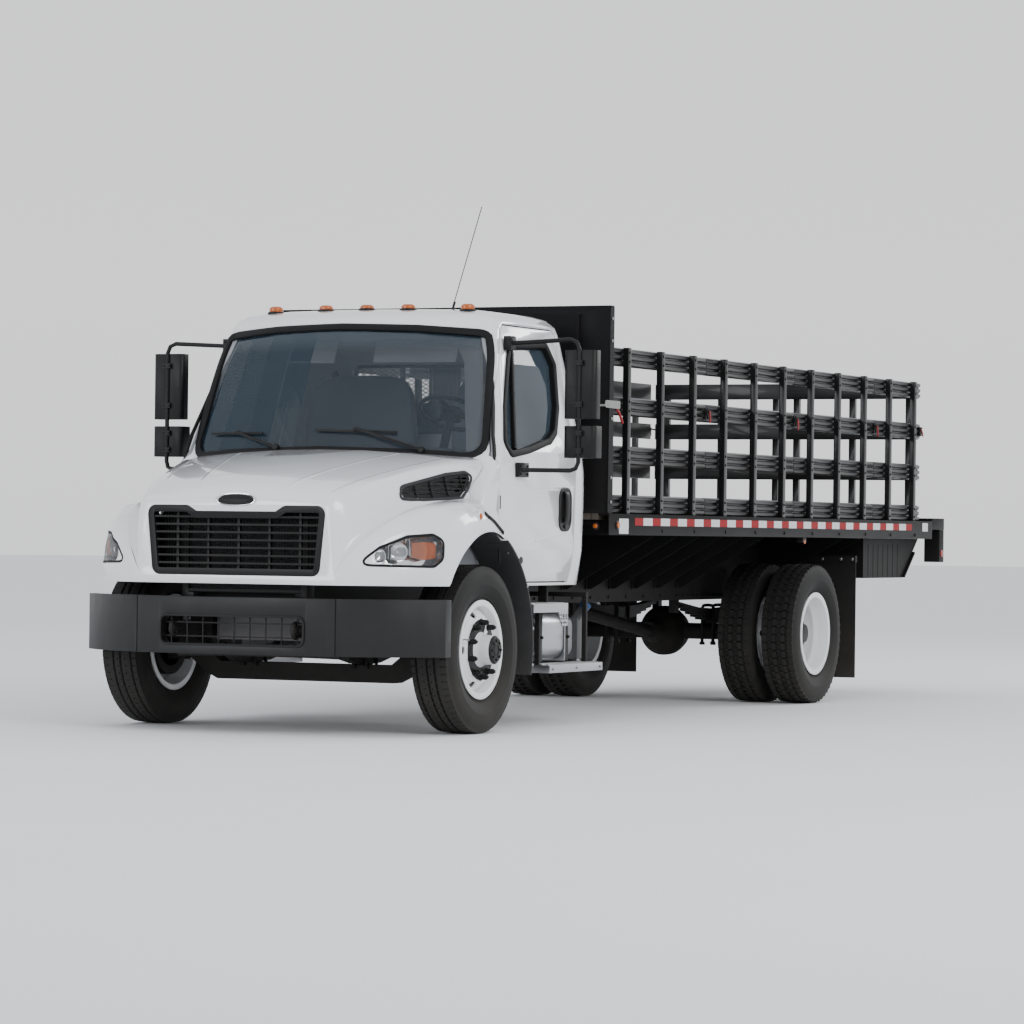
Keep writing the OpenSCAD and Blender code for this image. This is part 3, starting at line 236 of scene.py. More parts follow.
def surface(name, colour, roughness, metallic=0.0, coat=0.0, mottle=0.06, broad=2.5, grain=0.0,
            grain_scale=350.0, dust=0.0, dust_top=1.1, wear=0.0, wear_colour=(0.25, 0.24, 0.23), stretch=None,
            specular=0.5):
    """A finish with uneven tone and gloss, a fine grain, dust low down and worn flecks."""
    finish = Finish(name)
    cloud = finish.noise(broad, 6.0, stretch)
    fine = finish.noise(grain_scale, 3.0, stretch)
    shade = finish.toned(colour, 1.0 + (cloud - 0.5) * (2 * mottle) + (fine - 0.5) * mottle)
    rough = roughness + (cloud - 0.5) * 0.18 + (fine - 0.5) * 0.08
    if wear:
        flecks = finish.noise(45.0, 8.0).faded(0.66, 0.70) * finish.noise(4.0, 3.0).faded(0.45, 0.65) * wear
        shade = finish.mix(flecks, shade, wear_colour)
        rough = rough + flecks * 0.2
    if dust and bpy.context.scene.truck_sizes.with_dust:
        low = 1.0 - finish.axis("Z").faded(0.0, dust_top)
        patch = finish.noise(7.0, 7.0).faded(0.25, 0.8)
        film = low * (0.35 + patch * 0.65) * dust
        shade = finish.mix(film, shade, DUST)
        rough = rough + film * 0.5
    sockets = {"base_color": shade, "roughness": rough.clipped(), "metallic": metallic, "coat_weight": coat,
               "coat_roughness": 0.04, "specular_ior_level": specular}
    if grain:
        sockets["normal"] = finish.bump(fine, grain, 0.0006)
    FINISHES[name] = finish.body(**sockets)
    return FINISHES[name]


def glazing(name, tint, clear, band=None):
    """Glass that is clear head-on and mirrors at a flat angle; band darkens it above a height."""
    finish = Finish(name)
    edge = finish.node("Fresnel", {}, {"IOR": 1.5})
    smear = finish.noise(3.0, 5.0)
    cover = (1.0 - clear) + (smear - 0.5) * 0.05
    if band:
        cover = cover + finish.axis("Z").faded(band, band + 0.10) * 0.3
    alpha = (cover + edge * 0.9).clipped()
    FINISHES[name] = finish.body(base_color=finish.toned(tint, 0.9 + smear * 0.2), roughness=0.02 + smear * 0.03,
                                 alpha=alpha, specular_ior_level=0.8, coat_weight=1.0, coat_roughness=0.01)
    return FINISHES[name]


def lens(name, colour, glow=0.0):
    """Moulded plastic lens with fine upright flutes."""
    finish = Finish(name)
    across = (finish.axis("X") + finish.axis("Y")) * LENS_FLUTES
    flute = across.maths("SINE", across)
    shade = finish.toned(colour, 0.8 + flute * 0.12 + finish.noise(60.0) * 0.2)
    FINISHES[name] = finish.body(base_color=shade, roughness=0.12 + finish.noise(20.0) * 0.1,
                                 normal=finish.bump(flute, 0.25, 0.001), coat_weight=0.4, coat_roughness=0.03,
                                 emission_color=shade, emission_strength=glow)
    return FINISHES[name]


def make_finishes():
    """Every finish of the truck."""
    c = bpy.context.scene.truck_colours
    surface("Cab_white", tuple(c.cab), 0.22, coat=1.0, mottle=0.015, broad=0.8, dust=0.28, dust_top=1.5, grain=0.02,
            grain_scale=900.0)
    surface("Bed_black", tuple(c.bed), 0.5, coat=0.0, mottle=0.3, broad=1.6, dust=0.05, dust_top=2.2, wear=0.12,
            wear_colour=(0.06, 0.06, 0.06), grain=0.10, grain_scale=260.0, specular=0.12)
    surface("Slat_black", tuple(c.bed), 0.34, coat=0.15, mottle=0.12, broad=2.4, wear=0.04,
            wear_colour=(0.05, 0.05, 0.05), grain=0.04, grain_scale=200.0, specular=0.3)
    # Bright metal that the racks' upward top faces wear as a painted glint, with dark worn flecks.
    surface("Rack_edge", (0.72, 0.73, 0.75), 0.30, metallic=0.9, mottle=0.12, broad=6.0, wear=0.3,
            wear_colour=(0.08, 0.08, 0.08))
    surface("Wheel_white", (0.80, 0.81, 0.82), 0.32, coat=0.5, mottle=0.04, broad=5.0, dust=0.14, dust_top=1.1,
            wear=0.15)
    surface("Bumper_charcoal", tuple(c.bumper), 0.44, mottle=0.08, broad=2.0, grain=0.35, grain_scale=900.0, dust=0.05,
            dust_top=1.2, specular=0.3)
    surface("Chassis_black", tuple(c.chassis), 0.55, mottle=0.3, broad=3.0, grain=0.3, grain_scale=180.0, dust=0.10,
            dust_top=1.2, wear=0.3, wear_colour=(0.05, 0.035, 0.025), specular=0.18)
    surface("Cast_iron", (0.014, 0.0135, 0.013), 0.62, metallic=0.2, mottle=0.35, broad=6.0, grain=0.7,
            grain_scale=260.0, dust=0.10, wear=0.4, wear_colour=(0.06, 0.035, 0.02), specular=0.2)
    surface("Bare_steel", (0.30, 0.30, 0.31), 0.36, metallic=1.0, mottle=0.14, broad=9.0, grain=0.25, grain_scale=500.0,
            dust=0.1)
    surface("Chrome", (0.78, 0.79, 0.80), 0.08, metallic=1.0, mottle=0.03)
    surface("Brushed_aluminium", (0.50, 0.51, 0.53), 0.34, metallic=1.0, mottle=0.10, broad=3.0, grain=0.35,
            grain_scale=300.0, stretch=(0.04, 1.0, 1.0), dust=0.1, dust_top=1.0)
    surface("Tread_plate", (0.44, 0.45, 0.46), 0.38, metallic=0.95, mottle=0.2, broad=8.0, grain=0.3, grain_scale=240.0,
            dust=0.15, dust_top=1.2)
    surface("Grey_tank", (0.085, 0.088, 0.092), 0.5, mottle=0.1, grain=0.4, grain_scale=420.0, dust=0.12, specular=0.3)
    surface("Liner_grey", (0.026, 0.027, 0.029), 0.55, mottle=0.14, broad=3.0, grain=0.45, grain_scale=420.0, dust=0.10,
            dust_top=1.3, specular=0.3)
    surface("Trim_black", (0.0065, 0.0065, 0.007), 0.42, mottle=0.12, grain=0.30, grain_scale=700.0, dust=0.02,
            dust_top=2.0, specular=0.25)
    surface("Gasket_rubber", (0.006, 0.006, 0.0065), 0.58, mottle=0.16, broad=8.0, grain=0.3, grain_scale=500.0,
            specular=0.2)
    surface("Flap_rubber", (0.008, 0.008, 0.0085), 0.62, mottle=0.2, broad=4.0, grain=0.5, grain_scale=300.0, dust=0.16,
            dust_top=1.2, specular=0.2)
    surface("Tyre_rubber", (0.014, 0.0138, 0.0135), 0.66, mottle=0.14, broad=7.0, grain=0.5, grain_scale=520.0,
            dust=0.10, dust_top=0.9, specular=0.2)
    surface("Dash_plastic", (0.13, 0.14, 0.165), 0.55, mottle=0.08, grain=0.6, grain_scale=800.0)
    surface("Cab_lining", (0.30, 0.31, 0.33), 0.75, mottle=0.06, grain=0.6, grain_scale=600.0)
    surface("Engine_grey", (0.10, 0.10, 0.105), 0.55, metallic=0.5, mottle=0.25, grain=0.6, grain_scale=200.0, dust=0.3)
    surface("White_tape", (0.60, 0.61, 0.63), 0.4, mottle=0.05, broad=12.0, grain=0.2, grain_scale=700.0, dust=0.1,
            dust_top=2.0)
    surface("Red_tape", tuple(c.red), 0.45, mottle=0.12, broad=12.0, grain=0.2, grain_scale=700.0, dust=0.0,
            specular=0.15)
    surface("Handle_red", tuple(c.red), 0.38, mottle=0.15, broad=14.0, wear=0.5, wear_colour=(0.2, 0.2, 0.2))
    surface("Zinc", (0.30, 0.30, 0.29), 0.34, metallic=0.95, mottle=0.3, broad=25.0, grain=0.2)
    surface("Sticker_blank", (0.62, 0.63, 0.64), 0.45, mottle=0.06, broad=10.0)
    surface("Cap_blue", (0.012, 0.05, 0.16), 0.38, mottle=0.1, grain=0.2)
    glazing("Window_glass", (0.07, 0.10, 0.13), 0.76)
    glazing("Screen_glass", (0.035, 0.06, 0.085), 0.82, band=2.36)
    glazing("Lamp_cover", (0.30, 0.33, 0.36), 0.92)
    lens("Amber_lens", tuple(c.amber))
    lens("Red_lens", (0.30, 0.004, 0.004))
    lens("White_lens", (0.72, 0.73, 0.74), 0.02)
    deck_boards(tuple(c.wood))
    seat_cloth(tuple(c.cloth))
    radiator_core()
    perforated_plate()


def deck_boards(colour):
    """Dark boards that run along the bed, with grain, worn tracks and joints."""
    finish = Finish("Deck_boards")
    along = finish.noise(14.0, 8.0, (0.06, 1.0, 1.0))
    streak = finish.noise(70.0, 4.0, (0.03, 1.0, 1.0))
    board = (finish.axis("Y") + 1.2) * 7.0
    joint = (board % 1.0) < 0.045
    each = finish.node("TexWhiteNoise", {"noise_dimensions": "1D"}, {"W": board.maths("FLOOR", board)})
    shade = finish.toned(colour, 0.55 + along * 0.6 + streak * 0.35 + each * 0.3)
    shade = finish.mix(finish.noise(2.2, 6.0).faded(0.45, 0.75) * 0.4, shade, (0.16, 0.145, 0.125))
    shade = finish.mix(joint, shade, (0.006, 0.005, 0.005))
    height = along * 0.5 + streak * 0.5 - joint * 2.0
    FINISHES["Deck_boards"] = finish.body(base_color=shade, roughness=(0.62 + along * 0.25).clipped(),
                                          normal=finish.bump(height, 0.6, 0.0015))


def seat_cloth(colour):
    """Woven seat cloth."""
    finish = Finish("Cloth_weave")
    warp = (finish.axis("Y") * 2600.0)
    weft = (finish.axis("Z") * 2600.0 + finish.axis("X") * 2600.0)
    weave = warp.maths("SINE", warp) * weft.maths("SINE", weft)
    fuzz = finish.noise(900.0, 3.0)
    shade = finish.toned(colour, 0.8 + weave * 0.18 + fuzz * 0.35 + finish.noise(5.0) * 0.2)
    FINISHES["Cloth_weave"] = finish.body(base_color=shade, roughness=(0.82 + fuzz * 0.12).clipped(),
                                          normal=finish.bump(weave + fuzz, 0.4, 0.0006),
                                          sheen_weight=0.35, sheen_roughness=0.5)


def radiator_core():
    """Fins and tubes of the radiator."""
    finish = Finish("Radiator_core")
    tube = (finish.axis("Y") * 95.0) % 1.0 < 0.3
    fin = (finish.axis("Z") * 420.0) % 1.0 < 0.45
    # Tubes lighter than the rest and stripes between the fins darker still: painted shade in the core's recesses.
    shade = finish.mix(tube, (0.035, 0.036, 0.038), (0.10, 0.10, 0.105))
    shade = finish.mix(fin * 0.5, shade, (0.012, 0.012, 0.013))
    dirt = finish.noise(9.0, 6.0)
    shade = finish.mix(dirt.faded(0.5, 0.8) * 0.3, shade, (0.12, 0.10, 0.08))
    FINISHES["Radiator_core"] = finish.body(base_color=shade, metallic=0.5, roughness=0.5 + dirt * 0.2,
                                            normal=finish.bump(tube + fin * 0.4, 0.8, 0.003))


def perforated_plate():
    """Aluminium plate with rows of round holes, seen from the side."""
    finish = Finish("Pierced_aluminium")
    u = (finish.axis("X") * 40.0) % 1.0 - 0.5
    v = (finish.axis("Z") * 40.0) % 1.0 - 0.5
    hole = (u * u + v * v) < 0.09
    tone = finish.noise(12.0, 5.0)
    # Each hole is a near-black disc, painted shade where the plate would be open.
    shade = finish.mix(hole, finish.toned((0.52, 0.53, 0.54), 0.8 + tone * 0.4), (0.01, 0.01, 0.01))
    FINISHES["Pierced_aluminium"] = finish.body(base_color=shade, metallic=(1.0 - hole) * 0.95,
                                                roughness=0.35 + tone * 0.2 + hole * 0.3,
                                                normal=finish.bump(1.0 - hole, 0.6, 0.002))


# Shapes

def place(x, y, z):
    """A point of the drawing, in the frame's metres."""
    return Vector(((x + AXLE_X) / 1000, y / 1000, z / 1000))


def rounded(outline, radius, steps=5):
    """Closed outline whose corners are arcs of about that radius."""
    made = []
    n = len(outline)
    for i in range(n):
        before, corner, after = (Vector(outline[(i + k) % n]) for k in (-1, 0, 1))
        a, b = before - corner, after - corner
        turn = a.angle(b)
        reach = min(radius / max(math.tan(turn / 2), 0.05), a.length * 0.45, b.length * 0.45)
        start, end = corner + a.normalized() * reach, corner + b.normalized() * reach
        for k in range(steps + 1):
            t = k / steps
            made.append(tuple(start * (1 - t) ** 2 + corner * (2 * t * (1 - t)) + end * t ** 2))
    return made


def even(path, step, closed=True):
    """Points about one step apart along a path."""
    points = [Vector(p) for p in path]
    if closed:
        points.append(points[0])
    made = []
    for a, b in zip(points, points[1:]):
        parts = max(1, round((b - a).length / step))
        made += [a.lerp(b, k / parts) for k in range(parts)]
    if not closed:
        made.append(points[-1])
    return made


def round_point(centre, axis, r, d, share):
    """Point at radius r and distance d along an axis, a share of the way round it."""
    angle = 2 * math.pi * share
    c, s = r * math.cos(angle), r * math.sin(angle)
    offset = {"x": (d, c, s), "y": (c, d, s), "z": (c, s, d)}[axis]
    return tuple(p + q for p, q in zip(centre, offset))


class Shape:
    """Faces that grow into one piece."""

    def __init__(self):
        self.points = []
        self.faces = []
        self.parts = []
        self.part = 0

    def add(self, points, faces):
        first = len(self.points)
        self.points += [tuple(p) for p in points]
        self.faces += [tuple(first + i for i in f) for f in faces]
        self.parts += [self.part] * len(faces)
        return self

    def box(self, low, high):
        (a, b, c), (d, e, f) = low, high
        points = [(x, y, z) for x in (a, d) for y in (b, e) for z in (c, f)]
        return self.add(points, [(0, 1, 3, 2), (4, 6, 7, 5), (0, 4, 5, 1), (2, 3, 7, 6), (0, 2, 6, 4), (1, 5, 7, 3)])

    def loft(self, rings, ends=True, round_trip=False):
        """Skin over rings with the same number of points."""
        n, rows = len(rings[0]), len(rings)
        faces = []
        for i in range(rows if round_trip else rows - 1):
            k = (i + 1) % rows
            faces += [(i * n + j, i * n + (j + 1) % n, k * n + (j + 1) % n, k * n + j) for j in range(n)]
        if ends and not round_trip:
            faces += [tuple(range(n - 1, -1, -1)), tuple(range((rows - 1) * n, rows * n))]
        return self.add([p for ring in rings for p in ring], faces)

    def prism(self, outline, axis, low, high):
        """An outline in the other two coordinates, in their order, drawn out along an axis."""
        where = "xyz".index(axis)

        def point(p, value):
            p = list(p)
            p.insert(where, value)
            return tuple(p)
        return self.loft([[point(p, low) for p in outline], [point(p, high) for p in outline]])

    def turned(self, profile, centre, axis="y", steps=48):
        """Closed profile of (radius, distance along the axis), turned all round."""
        rings = [[round_point(centre, axis, r, d, i / steps) for r, d in profile] for i in range(steps)]
        return self.loft(rings, round_trip=True)

    def disc(self, profile, centre, axis="y", steps=32):
        """Open profile of (radius, distance) whose two ends are closed by flat faces."""
        return self.loft([[round_point(centre, axis, r, d, i / steps) for i in range(steps)] for r, d in profile])

    def band(self, path, normals, section, closed=True):
        """A section of (sideways, outwards) swept along a path that lies on a surface."""
        rings = []
        n = len(path)
        for i, (p, normal) in enumerate(zip(path, normals)):
            p, normal = Vector(p), Vector(normal).normalized()
            ahead = Vector(path[(i + 1) % n] if closed or i < n - 1 else path[i])
            behind = Vector(path[i - 1] if closed or i > 0 else path[i])
            side = (ahead - behind).normalized().cross(normal).normalized()
            rings.append([tuple(p + side * u + normal * v) for u, v in section])
        return self.loft(rings, ends=not closed, round_trip=closed)

    def tube(self, path, radius, steps=12, closed=False):
        """Round bar through points."""
        path = [Vector(p) for p in path]
        n = len(path)
        rings = []
        up = Vector((0.0, 0.0, 1.0))
        for i, p in enumerate(path):
            ahead = path[(i + 1) % n] if closed or i < n - 1 else p
            behind = path[i - 1] if closed or i > 0 else p
            along = (ahead - behind).normalized()
            if i == 0 and abs(along.dot(up)) > 0.9:
                up = Vector((1.0, 0.0, 0.0))
            side = along.cross(up).normalized()
            up = side.cross(along).normalized()
            rings.append([tuple(p + (side * math.cos(a) + up * math.sin(a)) * radius)
                          for a in (2 * math.pi * k / steps for k in range(steps))])
        return self.loft(rings, ends=not closed, round_trip=closed)

    def mirrored(self):
        """The same on the other side of the truck."""
        other = Shape()
        other.points = [(x, -y, z) for x, y, z in self.points]
        other.faces = [tuple(reversed(f)) for f in self.faces]
        other.parts = list(self.parts)
        return other

    def with_mirror(self):
        other = self.mirrored()
        parts = self.parts + other.parts
        self.add(other.points, other.faces)
        self.parts = parts
        return self

    def piece(self, name, body, *finishes, slot=None, bevel=0.0, smooth=35, replaces=(), weld=False):
        """The shape as an object that rides on a body."""
        mesh = bpy.data.meshes.new(name)
        mesh.from_pydata([place(*p) for p in self.points], [], self.faces)
        mesh.polygons.foreach_set("material_index", self.parts)
        bm = bmesh.new()
        bm.from_mesh(mesh)
        if weld:
            bmesh.ops.remove_doubles(bm, verts=bm.verts, dist=1e-5)
        bmesh.ops.recalc_face_normals(bm, faces=bm.faces)
        bm.to_mesh(mesh)
        bm.free()
        return finished(mesh, name, body, finishes, bevel, smooth, replaces)


def finished(mesh, name, body, finishes, bevel, smooth, replaces):
    """Turns a mesh into a piece with its finish, rounded edges and body."""
    for finish in finishes:
        mesh.materials.append(FINISHES[finish])
    mesh.polygons.foreach_set("use_smooth", [True] * len(mesh.polygons))
    piece = bpy.data.objects.new(name, mesh)
    bpy.context.scene.collection.objects.link(piece)
    if bevel:
        rounding = piece.modifiers.new("Rounded_edges", "BEVEL")
        rounding.width = bevel / 1000
        rounding.segments = 2
        rounding.limit_method = "ANGLE"
        rounding.angle_limit = math.radians(smooth)
        rounding.harden_normals = True
        rounding.use_clamp_overlap = True
    else:
        mesh.set_sharp_from_angle(angle=math.radians(smooth))
    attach(piece, body)
    if replaces:
        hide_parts(*replaces)
    return piece


def dressed(node, name, finishes, bevel=0.0, smooth=30, sorter=None):
    """A piece with a CAD node's own shape, its flat faces joined and its edges rounded.

    sorter gives the number of a face's finish.
    """
    mesh = bpy.data.meshes.new(name)
    bm = bmesh.new()
    bm.from_mesh(frame["nodes"][node].data)
    bmesh.ops.remove_doubles(bm, verts=bm.verts, dist=2e-5)
    bmesh.ops.dissolve_degenerate(bm, dist=2e-5, edges=bm.edges)
    bmesh.ops.dissolve_limit(bm, angle_limit=math.radians(FLAT_DEGREES), verts=bm.verts, edges=bm.edges)
    bm.normal_update()
    for face in bm.faces:
        face.material_index = sorter(face) if sorter else 0
    bm.to_mesh(mesh)
    bm.free()
    return finished(mesh, name, BODY_OF[node], finishes, bevel, smooth, (node,))


# Forms of the cab, from its drawing: height, front at the centre, bow, front corner, inset, back

CAB_LEVELS = [
    (900, -115, 2, 24, 34, -1646), (1120, -105, 2, 24, 6, -1662), (1370, -75, 2, 24, 1, -1668),
    (1500, -85, 45, 26, 0, -1670), (1630, -95, 190, 44, 2, -1670), (1740, -105, 250, 88, 16, -1670),
    (2000, -190, 250, 82, 75, -1670), (2300, -288, 250, 74, 140, -1666), (2500, -366, 245, 66, 186, -1656),
    (2565, -420, 222, 70, 206, -1636), (2608, -500, 190, 80, 250, -1596), (2634, -610, 150, 100, 330, -1540),
    (2650, -740, 100, 120, 460, -1440),
]


def level_at(z):
    """The cab's level at a height."""
    z = min(max(z, CAB_LEVELS[0][0]), CAB_LEVELS[-1][0])
    for low, high in zip(CAB_LEVELS, CAB_LEVELS[1:]):
        if z <= high[0]:
            t = (z - low[0]) / (high[0] - low[0])
            return tuple(a + (b - a) * t for a, b in zip(low, high))
    return CAB_LEVELS[-1]


def on_side(x, z, out=0.0):
    """Point on the cab's left side."""
    return (x, CAB_HALF - level_at(z)[4] + out, z)


def side_normal(z):
    """Outward direction of the cab's left side at a height."""
    rise = level_at(z + 15)[4] - level_at(z - 15)[4]
    return Vector((0.0, 30.0, rise)).normalized()


def on_front(y, z, out=0.0):
    """Point on the cab's front, at a distance y from the centre."""
    _, x_mid, bow, corner, inset, _ = level_at(z)
    half = CAB_HALF - inset
    flat = half - corner
    if abs(y) <= flat:
        x = x_mid - bow * (y / flat) ** 2
    else:
        turn = math.asin(min(1.0, (abs(y) - flat) / corner))
        x = x_mid - bow - corner * (1 - math.cos(turn))
    return (x + out, y, z)


def front_normal(y, z):
    """Outward direction of the cab's front."""
    here = Vector(on_front(y, z))
    up = Vector(on_front(y, z + 20)) - here
    aside = Vector(on_front(y + 12, z)) - here
    return aside.cross(up).normalized()


# Outlines of the door's window, the windscreen and the door, from the drawing

DOOR_WINDOW = [(-465, 1787), (-552, 2013), (-741, 2327), (-806, 2416), (-893, 2428), (-1365, 2444), (-1441, 2323),
               (-1364, 2040), (-1255, 1876), (-1144, 1818), (-801, 1754), (-531, 1721)]
WINDSCREEN = [(-1028, 1700), (-700, 1722), (0, 1740), (700, 1722), (1028, 1700), (942, 2478), (500, 2508), (0, 2520),
              (-500, 2508), (-942, 2478)]
DOOR_EDGE = [(-336, 925), (-336, 1500), (-344, 1700), (-374, 1838), (-519, 2147), (-675, 2426), (-716, 2500),
             (-766, 2540), (-1500, 2540), (-1532, 2515), (-1542, 2450), (-1510, 2030), (-1480, 1540),
             (-1463, 1000), (-1435, 925)]


# Stage

def look(camera, right, up, back, at):
    """Turns the camera to its three directions and sets its place."""
    camera.matrix_world = Matrix(((right[0], up[0], back[0], at[0]), (right[1], up[1], back[1], at[1]),
                                  (right[2], up[2], back[2], at[2]), (0, 0, 0, 1)))


def stage_camera():
    """Camera at the photograph's place, from its measured turn, pitch and roll."""
    yaw, pitch, roll = 0.4373, 0.0056, 0.0120
    data = bpy.data.cameras.new("Photo_view")
    data.lens, data.sensor_width = 140.95, 36.0
    data.clip_start, data.clip_end = 0.5, 400.0
    camera = bpy.data.objects.new("Photo_view", data)
    bpy.context.scene.collection.objects.link(camera)
    ahead = Vector((-math.cos(yaw) * math.cos(pitch), -math.sin(yaw) * math.cos(pitch), math.sin(pitch)))
    right = ahead.cross(Vector((0, 0, 1))).normalized()
    up = right.cross(ahead)
    tilted_right = right * math.cos(roll) + up * math.sin(roll)
    tilted_up = up * math.cos(roll) - right * math.sin(roll)
    look(camera, tilted_right, tilted_up, -ahead, (25.8785, 11.7239, 1.2211))
    bpy.context.scene.camera = camera


def soft_lamp(name, at, towards, size, power, colour=(1.0, 1.0, 1.0)):
    """Large lamp at a place, aimed at a point."""
    data = bpy.data.lights.new(name, "AREA")
    data.shape = "RECTANGLE"
    data.size, data.size_y = size
    data.energy = power
    data.color = colour
    lamp = bpy.data.objects.new(name, data)
    bpy.context.scene.collection.objects.link(lamp)
    lamp.location = at
    lamp.rotation_euler = (Vector(towards) - Vector(at)).to_track_quat("-Z", "Y").to_euler()


def stage_floor():
    """Pale floor that runs to the horizon."""
    mesh = bpy.data.meshes.new("Studio_floor")
    reach, spokes = 160.0, 48
    bm = bmesh.new()
    bmesh.ops.create_circle(bm, cap_ends=True, radius=reach, segments=spokes)
    bm.to_mesh(mesh)
    bm.free()
    floor = bpy.data.objects.new("Studio_floor", mesh)
    bpy.context.scene.collection.objects.link(floor)
    finish = Finish("Floor_pale")
    tone = finish.noise(0.35, 3.0)
    mesh.materials.append(finish.body(base_color=finish.toned((0.86, 0.87, 0.88), 0.98 + tone * 0.04),
                                      roughness=0.75 + tone * 0.1,
                                      specular_ior_level=0.25))


def stage_world():
    """Light from a bright sky dome that dims towards the ground."""
    sky = Finish("Studio_dome", bpy.data.worlds)
    upwards = sky.node("SeparateXYZ", {}, {0: sky.node("TexCoord", out="Generated")}, out="Z")
    stops = [(0.0, (0.62, 0.64, 0.67)), (0.495, (0.90, 0.91, 0.93)), (0.53, (0.97, 0.975, 0.985)),
             (0.8, (0.66, 0.69, 0.73)), (1.0, (0.95, 0.96, 1.0))]
    shade = sky.node("ValToRGB", {"stops": stops}, {0: upwards * 0.5 + 0.5})
    light = sky.node("Background", {}, {"Color": shade, "Strength": SKY_STRENGTH})
    sky.node("OutputWorld", {"is_active_output": True}, {"Surface": light})
    bpy.context.scene.world = sky.material


def make_stage():
    """Camera, lights and floor."""
    stage_camera()
    stage_world()
    stage_floor()
    soft_lamp("Key_softbox", (12.0, 16.0, 11.0), (0.5, 0.0, 1.2), (9.0, 6.0), 1500.0, (1.0, 0.985, 0.96))
    soft_lamp("Front_fill", (19.0, -9.0, 6.0), (2.0, 0.0, 1.2), (8.0, 5.0), 700.0, (0.95, 0.975, 1.0))
    soft_lamp("Back_rim", (-14.0, 9.0, 9.0), (-2.0, 0.0, 1.6), (8.0, 4.0), 800.0)


# Places on the packed solids

TREES = {}


def touch(node, start, towards):
    """Where a ray from start (drawing millimetres) meets a CAD node, and the outward direction there."""
    if node not in TREES:
        bm = bmesh.new()
        bm.from_mesh(frame["nodes"][node].data)
        TREES[node] = BVHTree.FromBMesh(bm)
        bm.free()
    direction = Vector(towards).normalized()
    spot, normal, _, _ = TREES[node].ray_cast(place(*start), direction)
    if spot is None:
        raise RuntimeError(f"nothing of {node} lies at {start}")
    if normal.dot(direction) > 0:
        normal.negate()
    return (spot.x * 1000 - AXLE_X, spot.y * 1000, spot.z * 1000), normal


def drawn(face):
    """Middle of a face in drawing millimetres."""
    middle = face.calc_center_median()
    return middle.x * 1000 - AXLE_X, middle.y * 1000, middle.z * 1000


def both_sides(name, shape, body, *finishes, **settings):
    """A shape on the left and its mirror image on the right, on bodies or nodes of either side."""
    shape.piece(name + "_left", body.replace("SIDE", "left"), *finishes, **settings)
    shape.mirrored().piece(name + "_right", body.replace("SIDE", "right"), *finishes, **settings)


def lip(width, low, high):
    """Section of a rubber or metal strip with a rounded top: sideways and outwards."""
    half = width / 2
    return [(-half, low), (-half, high * 0.5), (-half * 0.7, high), (half * 0.7, high), (half, high * 0.5), (half, low)]


# Cab

def windscreen_path(grow):
    """Points of the windscreen's outline, kept ahead of the pillar line."""
    path = []
    for y, z in even(rounded(WINDSCREEN, 110, 6), 45):
        scale = 1 + grow / 1000
        y *= scale
        z += grow * (-1 if z < 1950 else 1) * 0.6
        limit = -345 - (z - 1650) / 890 * 285 + 4 - grow
        while on_front(y, z)[0] < limit and abs(y) > 500:
            y *= 0.997
        path.append((y, z))
    return path


def inside_cab(face):
    """1 for a face of the cab's lining, 0 for its painted skin."""
    x, y, z = drawn(face)
    _, front, bow, _, inset, back = level_at(z)
    inner = CAB_HALF - inset - 45
    curve = front - bow * min(1.0, abs(y) / max(inner - 40, 1)) ** 2
    return 1 if 1050 < z < 2610 and abs(y) < inner and back + 45 < x < curve - 45 else 0


def make_cab():
    """Skin of the cab, rubber round its screens, roof gutters and seams."""
    sizes = bpy.context.scene.truck_sizes
    dressed("cab_shell", "Cab_skin", ("Cab_white", "Cab_lining"), bevel=sizes.edge_round * 1000,
            sorter=inside_cab)
    width = sizes.gasket_w * 1000
    rubber = Shape()
    path = windscreen_path(6)
    rubber.band([on_front(y, z, 1) for y, z in path], [front_normal(y, z) for y, z in path], lip(width + 8, -12, 9))
    rear = even(rounded([(-560, 1876), (560, 1876), (560, 2336), (-560, 2336)], 60, 5), 60)
    rubber.band([(level_at(z)[5], y, z) for y, z in rear], [(-1, 0, 0)] * len(rear), lip(width, -12, 8))
    rubber.piece("Screen_gaskets", "chassis", "Gasket_rubber", slot="trim", weld=True)
    seal = Shape()
    edge = [p for p in even(DOOR_EDGE, 60) if math.hypot(p[0] + 20, p[1] - 530) > 800]
    start = max(range(len(edge)), key=lambda i: (edge[i] - edge[i - 1]).length)
    edge = edge[start:] + edge[:start]
    seal.band([on_side(x, z, -30) for x, z in edge], [side_normal(z) for _, z in edge],
              [(-14, -6), (-14, 6), (14, 6), (14, -6)], closed=False)
    both_sides("Door_seal", seal, "chassis", "Gasket_rubber", slot="trim")
    gutter = Shape()
    run = [(-690, 2522), (-760, 2556), (-1100, 2560), (-1500, 2556), (-1565, 2520), (-1572, 2420)]
    run = even(run, 50, closed=False)
    gutter.band([on_side(x, z, 0) for x, z in run], [side_normal(z) for _, z in run], lip(13, -6, 7), closed=False)
    both_sides("Roof_gutter", gutter, "chassis", "Cab_white", slot="cab_paint")
    # Thin dark boxes on the cowl stand in for its slots: painted shade, the panel is not cut.
    cowl = Shape()
    for step in range(-9, 10):
        y = step * 88
        z = 1722 - 0.000022 * y * y
        spot = on_front(y, z, 1)
        if abs(y) > 250:
            cowl.box((spot[0] - 5, y - 30, z - 46), (spot[0] + 3, y + 30, z - 40))
    cowl.piece("Cowl_slots", "chassis", "Trim_black", slot="trim")


def make_glass():
    """Panes of the screens and doors."""
    paint("cab_glass", "Screen_glass")
    paint("door_glass_left", "Window_glass")
    paint("door_glass_right", "Window_glass")


def paint(node, finish):
    """Gives a CAD node that keeps its shape its finish."""
    for one in frame["nodes"][node].material_slots:
        one.material = FINISHES[finish]


